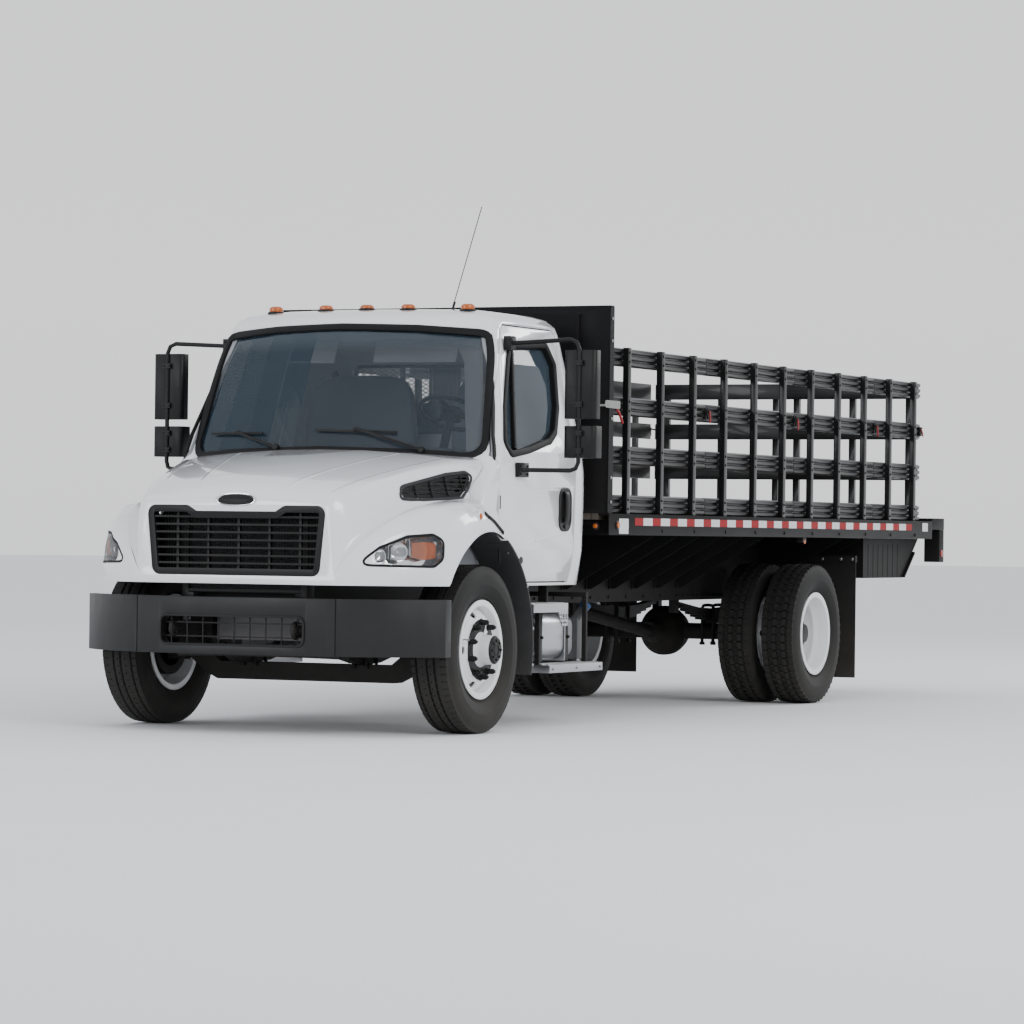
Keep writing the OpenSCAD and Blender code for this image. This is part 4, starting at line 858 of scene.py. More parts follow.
def make_doors():
    """Both doors: skins, window rubber, divider bars, handles and caps."""
    sizes = bpy.context.scene.truck_sizes

    def inner_face(face):
        _, y, z = drawn(face)
        return 1 if abs(y) < CAB_HALF - level_at(z)[4] - 34 else 0

    for side in ("left", "right"):
        dressed("door_" + side, "Door_skin_" + side, ("Cab_white", "Cab_lining"),
                bevel=sizes.edge_round * 750, sorter=inner_face)
    rubber = Shape()
    width = sizes.gasket_w * 1000
    path = even(rounded(DOOR_WINDOW, 44, 5), 30)
    rubber.band([on_side(x, z, 1) for x, z in path], [side_normal(z) for _, z in path], lip(width + 4, -30, 9))
    bar = even([(-843, 2392), (-611, 1756)], 50, closed=False)
    rubber.band([on_side(x, z, -8) for x, z in bar], [side_normal(z) for _, z in bar], lip(26, -14, 10), closed=False)
    both_sides("Window_rubber", rubber, "SIDE_door", "Gasket_rubber", slot="trim", weld=True)
    handle = Shape()
    plate = rounded([(-1420, 1244), (-1226, 1244), (-1226, 1526), (-1420, 1526)], 80, 7)
    handle.loft([[on_side(-1323 + (x + 1323) * grow, 1385 + (z - 1385) * grow, out) for x, z in plate]
                 for grow, out in ((1.0, -3), (1.0, 4), (0.96, 7), (0.86, 6), (0.80, 1))])
    lever = [on_side(-1330, z, out)
             for z, out in ((1500, 1), (1488, 12), (1440, 17), (1350, 17), (1312, 12), (1300, 1))]
    lever = even(lever, 16, closed=False)
    handle.band(lever, [(0, 1, 0)] * len(lever),
                [(-34, -4), (-34, 3), (-24, 8), (24, 8), (34, 3), (34, -4)], closed=False)
    handle.disc([(13, 0), (15, 1), (15, 9), (12, 12)], on_side(-1322, 1276), steps=24)
    both_sides("Door_handle", handle, "SIDE_door", "Trim_black", slot="trim", bevel=0)
    small = Shape()
    small.disc([(24, -4), (24, 3), (20, 7), (8, 8)], on_side(-686, 1060), steps=32)
    both_sides("Door_cap", small, "SIDE_door", "Liner_grey", slot="trim")
    press = Shape()
    line = even([(-880, 1180), (-1352, 1234)], 40, closed=False)
    press.band([on_side(x, z, -0.5) for x, z in line], [side_normal(z) for _, z in line],
               [(-16, 0), (-3, 3.2), (3, 3.2), (8, 0)], closed=False)
    both_sides("Door_press_line", press, "SIDE_door", "Cab_white", slot="cab_paint")
    hinge = Shape()
    for z in (1085, 1420):
        hinge.tube([(-346, 1137, z - 42), (-346, 1137, z + 42)], 6.5, 16)
    both_sides("Door_hinge_pins", hinge, "SIDE_door", "Chassis_black", slot="cab_paint")


def make_mirrors():
    """Mirror housings, their glass and clamps."""
    for side in ("left", "right"):
        dressed("mirror_" + side, "Mirror_frame_" + side, ("Trim_black",), bevel=5, smooth=40)
    glass, clamp = Shape(), Shape()
    for x, z0, z1 in ((-864, 1966, 2364), (-894, 1721, 1889)):
        outline = rounded([(1392, z0), (1568, z0), (1568, z1), (1392, z1)], 22, 5)
        glass.prism(outline, "x", x - 1.6, x + 1)
        ring = even(outline, 24)
        clamp.band([(x, y, z) for y, z in ring], [(-1, 0, 0)] * len(ring), lip(11, -2, 4))
    both_sides("Mirror_glass", glass, "SIDE_door", "Chrome", slot="glass")
    for z in (2300, 2040, 1860, 1750):
        clamp.box((-768, 1452, z - 16), (-743, 1508, z + 16))
        for y in (1461, 1499):
            clamp.disc([(6, 0), (6, 4), (4, 6)], (-743, y, z), "x", 6)
    clamp.box((-766, 1400, 2150), (-760, 1560, 2156))
    for y, z in ((996, 2400), (1022, 2400), (996, 2450), (1022, 2450)):
        clamp.disc([(7, 0), (7, 5), (5, 7)], (-700, y, z), "x", 6)
    for z in (1600, 1650):
        for x in (-680, -580):
            clamp.disc([(8, 0), (8, 5), (5, 7)], (x, 1170, z), "y", 6)
    both_sides("Mirror_clamps", clamp, "SIDE_door", "Trim_black", slot="trim", bevel=0)


# Hood

VENT = [(466, 1437), (452, 1490), (420, 1500), (60, 1576), (-95, 1592), (-135, 1570), (-85, 1490), (-20, 1450),
        (300, 1432)]


def grown(outline, by):
    """An outline moved outwards by about that much."""
    n = len(outline)
    centre = sum((Vector(p) for p in outline), Vector((0, 0))) / n
    made = []
    for i in range(n):
        a, b = Vector(outline[i - 1]), Vector(outline[(i + 1) % n])
        out = Vector(((b - a).y, -(b - a).x)).normalized()
        if out.dot(Vector(outline[i]) - centre) < 0:
            out.negate()
        made.append(tuple(Vector(outline[i]) + out * by))
    return made


def on_node(node, points, towards, reach):
    """Points pushed on to a node along a direction, with the outward directions there."""
    back = Vector(towards).normalized() * -reach
    found = [touch(node, tuple(Vector(p) + back), towards) for p in points]
    return [p for p, _ in found], [n for _, n in found]


def make_hood():
    """Skin of the hood with its badge plaque, vents, edge rubbers and side lamps."""
    sizes = bpy.context.scene.truck_sizes

    def under(face):
        x, y, z = drawn(face)
        out = Vector((0.35 * (x - 300) / 700, y / 1220, (z - 1000) / 700))
        return 1 if face.normal.dot(out) < -0.02 and x < 955 else 0

    dressed("hood", "Hood_skin", ("Cab_white", "Liner_grey"), bevel=sizes.edge_round * 750, smooth=32,
            sorter=under)
    ring = even(grown(rounded(VENT, 30, 5), 9), 26)
    points, normals = on_node("hood", [(x, 0, z) for x, z in ring], (0, -1, 0), 1500)
    rim = Shape().band(points, normals, lip(20, -4, 4))
    both_sides("Vent_rim", rim, "hood_tilt", "Liner_grey", slot="trim", weld=True)
    paint("hood_vents", "Trim_black")
    fins = Shape()
    for x, low, y_low, high, y_high in ((-60, 1484, 1020, 1576, 1009), (70, 1452, 988, 1570, 966),
                                        (200, 1443, 945, 1540, 928), (330, 1440, 900, 1510, 892)):
        spots = [(x + 20 * t, y_low + (y_high - y_low) * t ** 0.6 + 1, low + (high - low) * t)
                 for t in (0, 0.2, 0.4, 0.6, 0.8, 1)]
        fins.band(spots, [(0, 1, 0.3)] * 6, [(-4, -14), (-4, 3), (4, 3), (4, -14)], closed=False)
    both_sides("Vent_fins", fins, "hood_tilt", "Trim_black", slot="trim")
    badge = Shape()
    for part, wide, rows in ((0, 140, ((1.0, -5), (1.0, 5), (0.96, 8), (0.90, 7), (0.86, 2), (0.6, 2.5), (0.2, 2.5))),
                             (1, 121, ((1.0, -1), (1.0, 3), (0.97, 5), (0.6, 5.5), (0.15, 5.5)))):
        badge.part = part
        high = 38 if part == 0 else 31
        base = [(0, wide * math.copysign(abs(math.cos(a)) ** 0.8, math.cos(a)), 1410 + high * math.sin(a))
                for a in (2 * math.pi * k / 56 for k in range(56))]
        rings = []
        for grow, out in rows:
            smaller = [(0, y * grow, 1410 + (z - 1410) * grow) for _, y, z in base]
            points, normals = on_node("hood", smaller, (-1, 0, 0), 1500)
            rings.append([(x + n.x * out, y + n.y * out, z + n.z * out) for (x, y, z), n in zip(points, normals)])
        badge.loft(rings)
    badge.piece("Badge_plaque_blank", "hood_tilt", "Chrome", "Trim_black", slot="trim", smooth=40)
    strap = Shape()
    run = even([(-314, 1230), (-224, 1270), (-184, 1290), (-84, 1330), (-50, 1350)], 30, closed=False)
    points, normals = on_node("hood", [(x, 0, z) for x, z in run], (0, -1, 0), 1500)
    strap.band(points, normals, lip(24, -8, 8), closed=False)
    for p in (points[1], points[-2]):
        strap.disc([(10, 0), (10, 9), (6, 12)], (p[0] - 6, p[1], p[2] - 6), "y", 16)
    both_sides("Hood_edge_rubber", strap, "hood_tilt", "Gasket_rubber", slot="trim")
    ring, glow = Shape(), Shape()
    spot, _ = touch("hood", (29, 1500, 1329), (0, -1, 0))
    ring.disc([(33, -6), (33, 5), (29, 9), (21, 9)], spot, "y", 40)
    glow.disc([(21, 6), (20, 11), (14, 15), (5, 17)], spot, "y", 32)
    both_sides("Side_lamp_ring", ring, "hood_tilt", "Cab_white", slot="cab_paint")
    both_sides("Side_lamp_lens", glow, "hood_tilt", "Amber_lens", slot="amber")
    crease = Shape()
    for y0, y1 in ((300, 560), (610, 880)):
        line = [(x, y0 + (y1 - y0) * (900 - x) / 980, 0) for x in range(880, -81, -40)]
        points, normals = on_node("hood", [(x, y, 2000) for x, y, _ in line], (0, 0, -1), 0)
        crease.band([(x, y, z - 1.0) for x, y, z in points], normals,
                    [(-26, 0), (-8, 2.6), (0, 3.4), (8, 2.6), (26, 0)], closed=False)
    both_sides("Hood_creases", crease, "hood_tilt", "Cab_white", slot="cab_paint")


def make_grille():
    """Grille, radiator core, insect screen and the seals beside the radiator."""
    dressed("grille", "Grille_bars", ("Trim_black",), bevel=3, smooth=30)

    def part(face):
        _, y, z = drawn(face)
        return 0 if abs(y) < 384 else (1 if z > 850 else 2)

    dressed("radiator", "Radiator_block", ("Radiator_core", "Trim_black", "Chassis_black"), bevel=2,
            sorter=part)
    mesh = Shape()
    for k in range(-27, 28):
        mesh.box((906, k * 20 - 1.2, 975), (908.5, k * 20 + 1.2, 1335))
    mesh.piece("Insect_screen", "hood_tilt", "Trim_black", slot="trim")
    seals, cooler = Shape(), Shape()
    seals.prism([(418, 905), (608, 905), (608, 1300), (560, 1340), (418, 1340)], "x", 836, 842)
    seals.with_mirror().piece("Radiator_seals", "chassis", "Gasket_rubber", slot="trim")
    for z in (853, 904, 1352):
        cooler.box((831, -415, z), (846, 415, z + 20))
    cooler.piece("Cooler_frame", "chassis", "Trim_black", slot="trim", bevel=2)


def lamp_frame(u, v, z):
    """Point at depth u and sideways v in the direction a left headlamp looks."""
    half = math.sqrt(0.5)
    return ((u - v) * half, (u + v) * half, z)


def make_headlamps():
    """Clear covers over chrome bowls, a bright divider and the amber turn lamp."""
    look_out = Vector((math.sqrt(0.5), math.sqrt(0.5), 0.0))

    def front_skin(face):
        _, y, _ = drawn(face)
        out = Vector((look_out.x, look_out.y if y > 0 else -look_out.y, 0.0))
        return 0 if face.normal.dot(out) > 0.35 else 1

    dressed("headlamps", "Headlamp_shells", ("Lamp_cover", "Chrome"), bevel=0, sorter=front_skin)
    bowls, amber, bulbs, frames = Shape(), Shape(), Shape(), Shape()

    def depth(v, z):
        spot, _ = touch("headlamps", lamp_frame(2200, v, z), tuple(-look_out))
        return (spot[0] + spot[1]) * math.sqrt(0.5)

    for v, z, r in ((52, 1082, 44), (172, 1108, 56)):
        face = depth(v, z) - 16
        bowl = [(r, 0), (r - 3, -1), (r * 0.86, -14), (r * 0.62, -34), (r * 0.3, -48), (6, -52), (6, -56),
                (r * 0.34, -53), (r * 0.68, -39), (r * 0.92, -17), (r + 1, -5)]
        bulb = [(1, -10), (9, -14), (11, -22), (9, -34), (7, -48), (1, -48)]
        for shape, profile in ((bowls, bowl), (bulbs, bulb)):
            rings = []
            for i in range(40):
                a = 2 * math.pi * i / 40
                rings.append([lamp_frame(face + d, v + rr * math.cos(a), z + rr * math.sin(a)) for rr, d in profile])
            shape.loft(rings, round_trip=True)
    rings = []
    for k in range(9):
        v = 256 + 20.5 * k
        face = depth(v, 1120) - 12
        low, high = 1060 + 4 * abs(k - 4), 1170 - 2 * abs(k - 4)
        rings.append([lamp_frame(face - 40, v, low), lamp_frame(face - 6, v, low),
                      lamp_frame(face, v, (low + high) / 2),
                      lamp_frame(face - 6, v, high), lamp_frame(face - 40, v, high)])
    amber.loft(rings)
    for v in (108, 240):
        face = depth(v, 1110) - 10
        low, high = 1045 + 0.18 * v, 1150 + 0.14 * v
        frames.loft([[lamp_frame(face - d, v - w, low), lamp_frame(face - d, v + w, low),
                      lamp_frame(face - d, v + w, high), lamp_frame(face - d, v - w, high)]
                     for d, w in ((50, 5), (0, 3))])
    both_sides("Headlamp_bowls", bowls, "hood_tilt", "Chrome", slot="lamp_glass")
    both_sides("Headlamp_bulbs", bulbs, "hood_tilt", "White_lens", slot="lamp_glass")
    both_sides("Headlamp_dividers", frames, "hood_tilt", "Bare_steel", slot="lamp_glass")
    both_sides("Turn_lamps", amber, "hood_tilt", "Amber_lens", slot="amber")
    edge = rounded([(-70, 1035), (60, 1130), (230, 1195), (400, 1208), (470, 1175), (462, 1070), (400, 1028)], 45, 5)
    ring = even(grown(edge, 7), 22)
    points, normals = [], []
    for v, z in ring:
        try:
            p, n = touch("hood", lamp_frame(2200, v, z), tuple(-look_out))
        except RuntimeError:
            continue
        if (p[0] + p[1]) * math.sqrt(0.5) > 900:
            points.append(p)
            normals.append(n)
    rubber = Shape().band(points, normals, lip(15, -4, 2.5))
    both_sides("Headlamp_rubber", rubber, "hood_tilt", "Gasket_rubber", slot="trim", weld=True)


def make_bumper():
    """Bumper with rounded edges, the slot's rim and inner bars, and the tow hooks."""
    dressed("bumper", "Bumper_shell", ("Bumper_charcoal",), bevel=13, smooth=35)
    slot_path = even(rounded([(-490, 537), (490, 537), (490, 712), (-490, 712)], 50, 6), 30)
    face = lambda y: 1040 - 0.00012 * y * y
    rim = Shape().band([(face(y) - 1, y, z) for y, z in slot_path], [(1, 0, 0)] * len(slot_path), lip(14, -16, 3))
    rim.piece("Bumper_slot_rim", "chassis", "Trim_black", slot="trim", weld=True)
    bars = Shape()
    for z in (585, 668):
        bars.box((968, -486, z - 4), (975, 486, z + 4))
    for k in range(-4, 5):
        bars.box((966, k * 108 - 4, 540), (970, k * 108 + 4, 708))
    bars.piece("Bumper_inner_bars", "chassis", "Trim_black", slot="trim")
    hooks = Shape()
    for y in (-417, 417):
        hooks.tube([(940, y, 585), (985, y, 590), (1008, y, 620), (1004, y, 655), (975, y, 672), (940, y, 674)], 13, 14)
    hooks.piece("Tow_hooks", "chassis", "Cast_iron", slot="steel")


# Wheels

def tyre_rings(middle, side, blocks, pitches, deep):
    """Rings of one tyre round its axle: shoulders, sidewall bead lines and a cut tread."""
    walls = [(288, 84), (300, 92), (306, 101), (318, 103), (322, 110), (330, 111), (346, 124), (392, 137), (398, 138.6),
             (404, 138), (430, 138), (452, 135), (480, 126), (486, 122)]
    if blocks:
        edges = [-118, -74, -68, -38, -32, -3, 3, 32, 38, 68, 74, 118]
    else:
        edges = [-118, -84, -78, -44, -37, -12, -5, 5, 12, 37, 44, 78, 84, 118]
    crown = lambda y: TYRE_R - 0.00042 * y * y
    rings = []
    part = 6
    for i in range(pitches * part):
        step, phase = divmod(i, part)
        angle = 2 * math.pi * (step + (0.0, 0.10, 0.13, 0.87, 0.90, 0.99)[phase]) / pitches
        ring = [(r, -w) for r, w in walls]
        for k, edge in enumerate(edges):
            row = k // 2
            zigzag = 4.5 * (1 if phase in (1, 2, 3) and 0 < k < len(edges) - 1 else 0) * (1 if row % 2 else -1)
            y = edge + zigzag
            outer = row in (0, len(edges) // 2 - 1)
            cut = 0.0
            if blocks:
                shift = 3 if row % 2 else 0
                if (phase + shift) % part in (5, 0):
                    cut = deep * (0.55 if outer else 1.0)
            elif phase in (5, 0):
                cut = deep * (0.35 if outer else 0.14)
            ring.append((crown(y) - cut, y))
            if k % 2 == 1 and k < len(edges) - 1:
                nxt = edges[k + 1] + zigzag
                ring += [(crown(y) - deep, y + 0.8), (crown(nxt) - deep, nxt - 0.8)]
        ring += [(r, w) for r, w in reversed(walls)]
        rings.append([(r * math.cos(angle), middle + side * w, r * math.sin(angle)) for r, w in ring])
    return rings


def tyre(shape, x, middle, side, blocks):
    """One tyre with its middle at a distance from the centre line."""
    sizes = bpy.context.scene.truck_sizes
    pitches = sizes.tread_pitches + (0 if blocks else 14)
    rings = tyre_rings(middle, side, blocks, pitches, sizes.tread_deep * 1000)
    shape.loft([[(x + a, y, TYRE_R + c) for a, y, c in ring] for ring in rings], round_trip=True)
    return shape


def make_tyres():
    """Front tyres with straight ribs and rear tyres with four rows of blocks."""
    for side, sign in (("left", 1), ("right", -1)):
        shape = tyre(Shape(), 0, sign * 1075, sign, False)
        shape.piece("Rib_tyre_front_" + side, f"front_{side}_wheel", "Tyre_rubber", slot="tyre", smooth=28,
                    replaces=("tyre_front_" + side,))
        shape = tyre(Shape(), -WHEELBASE, sign * 1095, sign, True)
        tyre(shape, -WHEELBASE, sign * 752, sign, True)
        shape.piece("Block_tyres_rear_" + side, f"rear_{side}_wheels", "Tyre_rubber", slot="tyre", smooth=28,
                    replaces=("tyres_rear_" + side,))


def wheel_part(x0, hub, drum):
    """Sorts a wheel's faces: hub 1, brake drum 2, rim and disc 0."""
    def part(face):
        x, y, z = drawn(face)
        r = math.hypot(x - x0, z - TYRE_R)
        y = abs(y)
        if r < 86 and y > hub:
            return 1
        return 2 if r < 208 and y < drum else 0
    return part


def nuts(shape, x0, y0, radius, size, length):
    """Ten wheel nuts round an axle: washer face, hexagon and stud end."""
    for k in range(10):
        spot = round_point((x0, y0, TYRE_R), "y", radius, 0, (k + 0.5) / 10)
        shape.disc([(size * 1.28, 0), (size * 1.28, 3), (size * 1.2, 4)], spot, "y", 20)
        shape.disc([(size, 3), (size, length - 4), (size * 0.86, length)], spot, "y", 6)
        shape.disc([(size * 0.55, length), (size * 0.55, length + 9), (size * 0.45, length + 11)], spot, "y", 16)


def hub_bolts(shape, x0, y0, radius, count):
    """Ring of small bolts on a hub's end."""
    for k in range(count):
        shape.disc([(9, 0), (9, 7), (6, 9)], round_point((x0, y0, TYRE_R), "y", radius, 0, k / count), "y", 6)


def make_wheels():
    """Painted rims with their nuts, valves, hub bolts and drums."""
    finishes = ("Wheel_white", "Trim_black", "Cast_iron")
    for side in ("left", "right"):
        for node, name, sorter in (("wheel_front_", "Rim_front_", wheel_part(0, 1150, 1160)),
                                   ("wheels_rear_", "Rims_rear_", wheel_part(-WHEELBASE, 960, 900))):
            dressed(node + side, name + side, finishes, bevel=2.5, sorter=sorter)
    front, rear = Shape(), Shape()
    nuts(front, 0, 1183, 167, 19, 42)
    hub_bolts(front, 0, 1289, 58, 8)
    front.turned([(40, 1289), (40, 1292), (32, 1294), (30, 1290)], (0, 0, TYRE_R), "y", 40)
    nuts(rear, -WHEELBASE, 956, 167, 19, 40)
    hub_bolts(rear, -WHEELBASE, 1096, 82, 10)
    both_sides("Wheel_nuts_front", front, "front_SIDE_wheel", "Trim_black", slot="trim")
    both_sides("Wheel_nuts_rear", rear, "rear_SIDE_wheels", "Trim_black", slot="trim")
    valve = Shape()
    valve.tube([(232, 1150, TYRE_R + 60), (236, 1185, TYRE_R + 66), (232, 1205, TYRE_R + 64)], 4, 10)
    valve.disc([(6, 0), (6, 12), (4, 14)], (232, 1203, TYRE_R + 64), "y", 12)
    both_sides("Valve_front", valve, "front_SIDE_wheel", "Bare_steel", slot="steel")
    ring = Shape()
    ring.turned([(238, 1131), (246, 1128), (250, 1124), (246, 1121), (238, 1124)], (0, 0, TYRE_R), "y", 72)
    both_sides("Rim_lock_ring", ring, "front_SIDE_wheel", "Wheel_white", slot="wheel_paint")


# Steps, tanks and chassis

def make_steps():
    """Step treads with raised teeth, pierced side plates and bolts."""
    def part(face):
        _, _, z = drawn(face)
        return 0 if 729 < z < 786 or 344 < z < 396 else 1

    dressed("cab_steps", "Step_brackets", ("Brushed_aluminium", "Chassis_black"), bevel=3, sorter=part)
    teeth = Shape()
    for x0, x1, y0, y1, z in ((-1262, -752, 1008, 1187, 785), (-1805, -991, 1018, 1192, 395)):
        count = int((x1 - x0) / 42)
        for i in range(count):
            for j in range(4):
                x, y = x0 + 21 + i * 42, y0 + 24 + j * (y1 - y0 - 48) / 3
                teeth.turned([(16, 0), (14, 5), (10, 6.5), (9, 1), (10, 0)], (x, y, z - 0.5), "z", 14)
        for k in range(int((x1 - x0) / 16)):
            teeth.box((x0 + k * 16, y1 + 1, z - 2), (x0 + k * 16 + 8, y1 + 7.5, z + 4))
    both_sides("Step_treads", teeth, "chassis", "Tread_plate", slot="aluminium", smooth=30)
    plates = Shape()
    plates.prism(rounded([(-1268, 640), (-1180, 640), (-1120, 732), (-1268, 732)], 14, 4), "y", 1189, 1194)
    both_sides("Step_side_plates", plates, "chassis", "Pierced_aluminium", slot="aluminium")
    bolts = Shape()
    for x, y, z in ((-1240, 1194, 705), (-1200, 1194, 705), (-1225, 1194, 665), (-1030, 1200, 370), (-1770, 1200, 370),
                    (-1400, 1200, 370)):
        bolts.disc([(9, 0), (9, 6), (6, 8)], (x, y, z), "y", 6)
    both_sides("Step_bolts", bolts, "chassis", "Bare_steel", slot="steel")


def make_tanks():
    """Fuel tank with straps and filler, the small grey tank, the box and the air tanks."""
    def part(face):
        x, y, z = drawn(face)
        return 1 if (abs(x + 1090) < 27 or abs(x + 1493) < 27) and (y < 463 or y > 1077 or z < 421 or z > 715) else 0

    dressed("fuel_tank", "Fuel_tank_shell", ("Brushed_aluminium", "Trim_black"), bevel=6, smooth=40,
            sorter=part)
    section = rounded([(465, 423), (1075, 423), (1075, 713), (465, 713)], 80, 8)
    outside = even(section, 26)
    straps, filler = Shape(), Shape()
    for x in (-1090, -1493):
        path = [(x, y, z) for y, z in outside]
        normals = []
        for y, z in outside:
            cy, cz = min(max(y, 545), 995), min(max(z, 503), 633)
            normals.append((0, y - cy, z - cz) if (y - cy) ** 2 + (z - cz) ** 2 > 1 else (0, 0, 1))
        straps.band(path, normals, [(-21, -1), (-21, 3.5), (21, 3.5), (21, -1)])
        straps.disc([(11, 0), (11, 26), (7, 30)], (x, 1074, 566), "y", 6)
    straps.piece("Tank_straps", "chassis", "Trim_black", slot="trim", weld=True)
    filler.disc([(46, -14), (46, 18), (50, 20), (50, 40), (44, 46), (16, 48)], (-1240, 985, 714), "z", 40)
    for k in range(8):
        x, y, _ = round_point((-1240, 985, 0), "z", 50, 0, k / 8)
        filler.box((x - 4, y - 4, 736), (x + 4, y + 4, 752))
    filler.piece("Fuel_cap", "chassis", "Trim_black", slot="trim")
    dressed("side_tanks", "Side_tank_shells", ("Grey_tank",), bevel=9, smooth=38)
    cap = Shape()
    cap.tube([(-1790, 1072, 752), (-1790, 1092, 776)], 36, 28)
    cap.piece("Small_tank_cap", "chassis", "Cap_blue", slot="trim")
    vent = Shape()
    for k in range(9):
        vent.box((-1620 + k * 66, -1063, 470), (-1580 + k * 66, -1059, 640))
    for x in (-1590, -1100):
        vent.box((x - 22, -1066, 402), (x + 22, -1058, 722))
    vent.piece("Box_cover_ribs", "chassis", "Chassis_black", slot="frame", bevel=2)
    ends = Shape()
    for x, s in ((-2706, -1), (-2144, 1)):
        ends.disc([(112, 0), (104, 8 * s), (70, 18 * s), (20, 22 * s)], (x, -560, 720), "x", 40)
    for x in (-2600, -2250):
        ends.turned([(118, -14), (122, -14), (122, 14), (118, 14)], (x, -560, 720), "x", 44)
    ends.piece("Air_tank_ends", "chassis", "Chassis_black", slot="frame")


def make_chassis():
    """Finishes of the frame, axles and springs, with rail bolts, gussets, hoses and U-bolts."""
    for finish, nodes in (
            ("Chassis_black", ("frame_rails", "leaf_springs", "driveshaft", "bed_sills")),
            ("Cast_iron", ("front_axle", "rear_axle", "knuckle_left", "knuckle_right")), ("Engine_grey", ("engine",)),
            ("Bed_black", ("rear_apron",)), ("Flap_rubber", ("mudflaps",)),
                          ("Trim_black", ("steering_wheel", "wipers")),
            ("Dash_plastic", ("dashboard",)), ("Bare_steel", ("grab_handles",))):
        for node in nodes:
            paint(node, finish)
    bolts = Shape()
    for x in list(range(-2100, -8300, -310)) + [-260, -420, -1500]:
        for z in (790, 970):
            bolts.disc([(11, 0), (11, 8), (7, 10)], (x, 430, z), "y", 6)
    for x in range(-6480, -4900, 92):
        bolts.disc([(9, 0), (9, 7), (6, 9)], (x, 430, 790), "y", 6)
    bolts.with_mirror().piece("Rail_bolts", "chassis", "Chassis_black", slot="frame")
    gussets = Shape()
    for i in range(2, 14):
        x = BED_FRONT - 200 - i * 406
        if not -6350 < x < -5050:
            gussets.prism([(432, 1010), (432, 850), (470, 850), (1100, 1215), (1100, 1224), (432, 1224)], "x", x - 3,
                          x + 3)
            gussets.box((x - 26, 432, 846), (x + 26, 440, 1010))
    gussets.with_mirror().piece("Outrigger_gussets", "chassis", "Chassis_black", slot="frame", bevel=1.5)
    clamps = Shape()
    for x0, half, low, high, r in ((0, 70, 396, 480, 10), (-WHEELBASE, 105, 430, 700, 12)):
        for x in (x0 - half, x0 + half):
            for y in (346, 434):
                clamps.tube([(x, y, low), (x, y, high)], r, 12)
                clamps.disc([(r * 1.7, 0), (r * 1.7, 18), (r * 1.3, 21)], (x, y, low - 14), "z", 6)
            clamps.tube([(x, 346, high), (x, 356, high + 9), (x, 390, high + 13), (x, 424, high + 9), (x, 434, high)],
                        r, 12)
    clamps.with_mirror().piece("Spring_clamps", "chassis", "Chassis_black", slot="frame")
    hoses = Shape()
    for k, z in enumerate((930, 905, 880)):
        path = [(x, 342 + 4 * math.sin(x / 300 + k), z + 6 * math.sin(x / 210 + k))
                for x in range(-1900, -7000, -90)]
        hoses.tube(path, 9 - 2 * (k == 1), 8)
    hoses.piece("Frame_lines", "chassis", "Trim_black", slot="trim")
    hitch = Shape()
    hitch.box((-6850, 436, 700), (-6790, 470, 830))
    hitch.tube([(-6820, 470, 745), (-6820, 545, 745)], 30, 24)
    hitch.tube([(-6820, 545, 745), (-6820, 575, 745)], 44, 24)
    hitch.piece("Side_coupling", "chassis", "Chassis_black", slot="frame")
    flap = Shape()
    for y in (640, 790, 940, 1090, 1180):
        flap.disc([(12, 0), (12, 6), (8, 9)], (-6540, y, 1064), "x", 6)
    flap.with_mirror()
    flap.piece("Flap_bolts", "chassis", "Bare_steel", slot="steel")
    crossbar = Shape()
    crossbar.tube([(655, y, 470 + 12 * math.cos(y / 500)) for y in range(-560, 561, 70)], 22, 16)
    crossbar.piece("Front_stabiliser", "chassis", "Chassis_black", slot="frame")


# Bed

def stake_x(i):
    """Place of a rack's stake along the bed."""
    return BED_FRONT - FIRST_STAKE - i * STAKE_PITCH


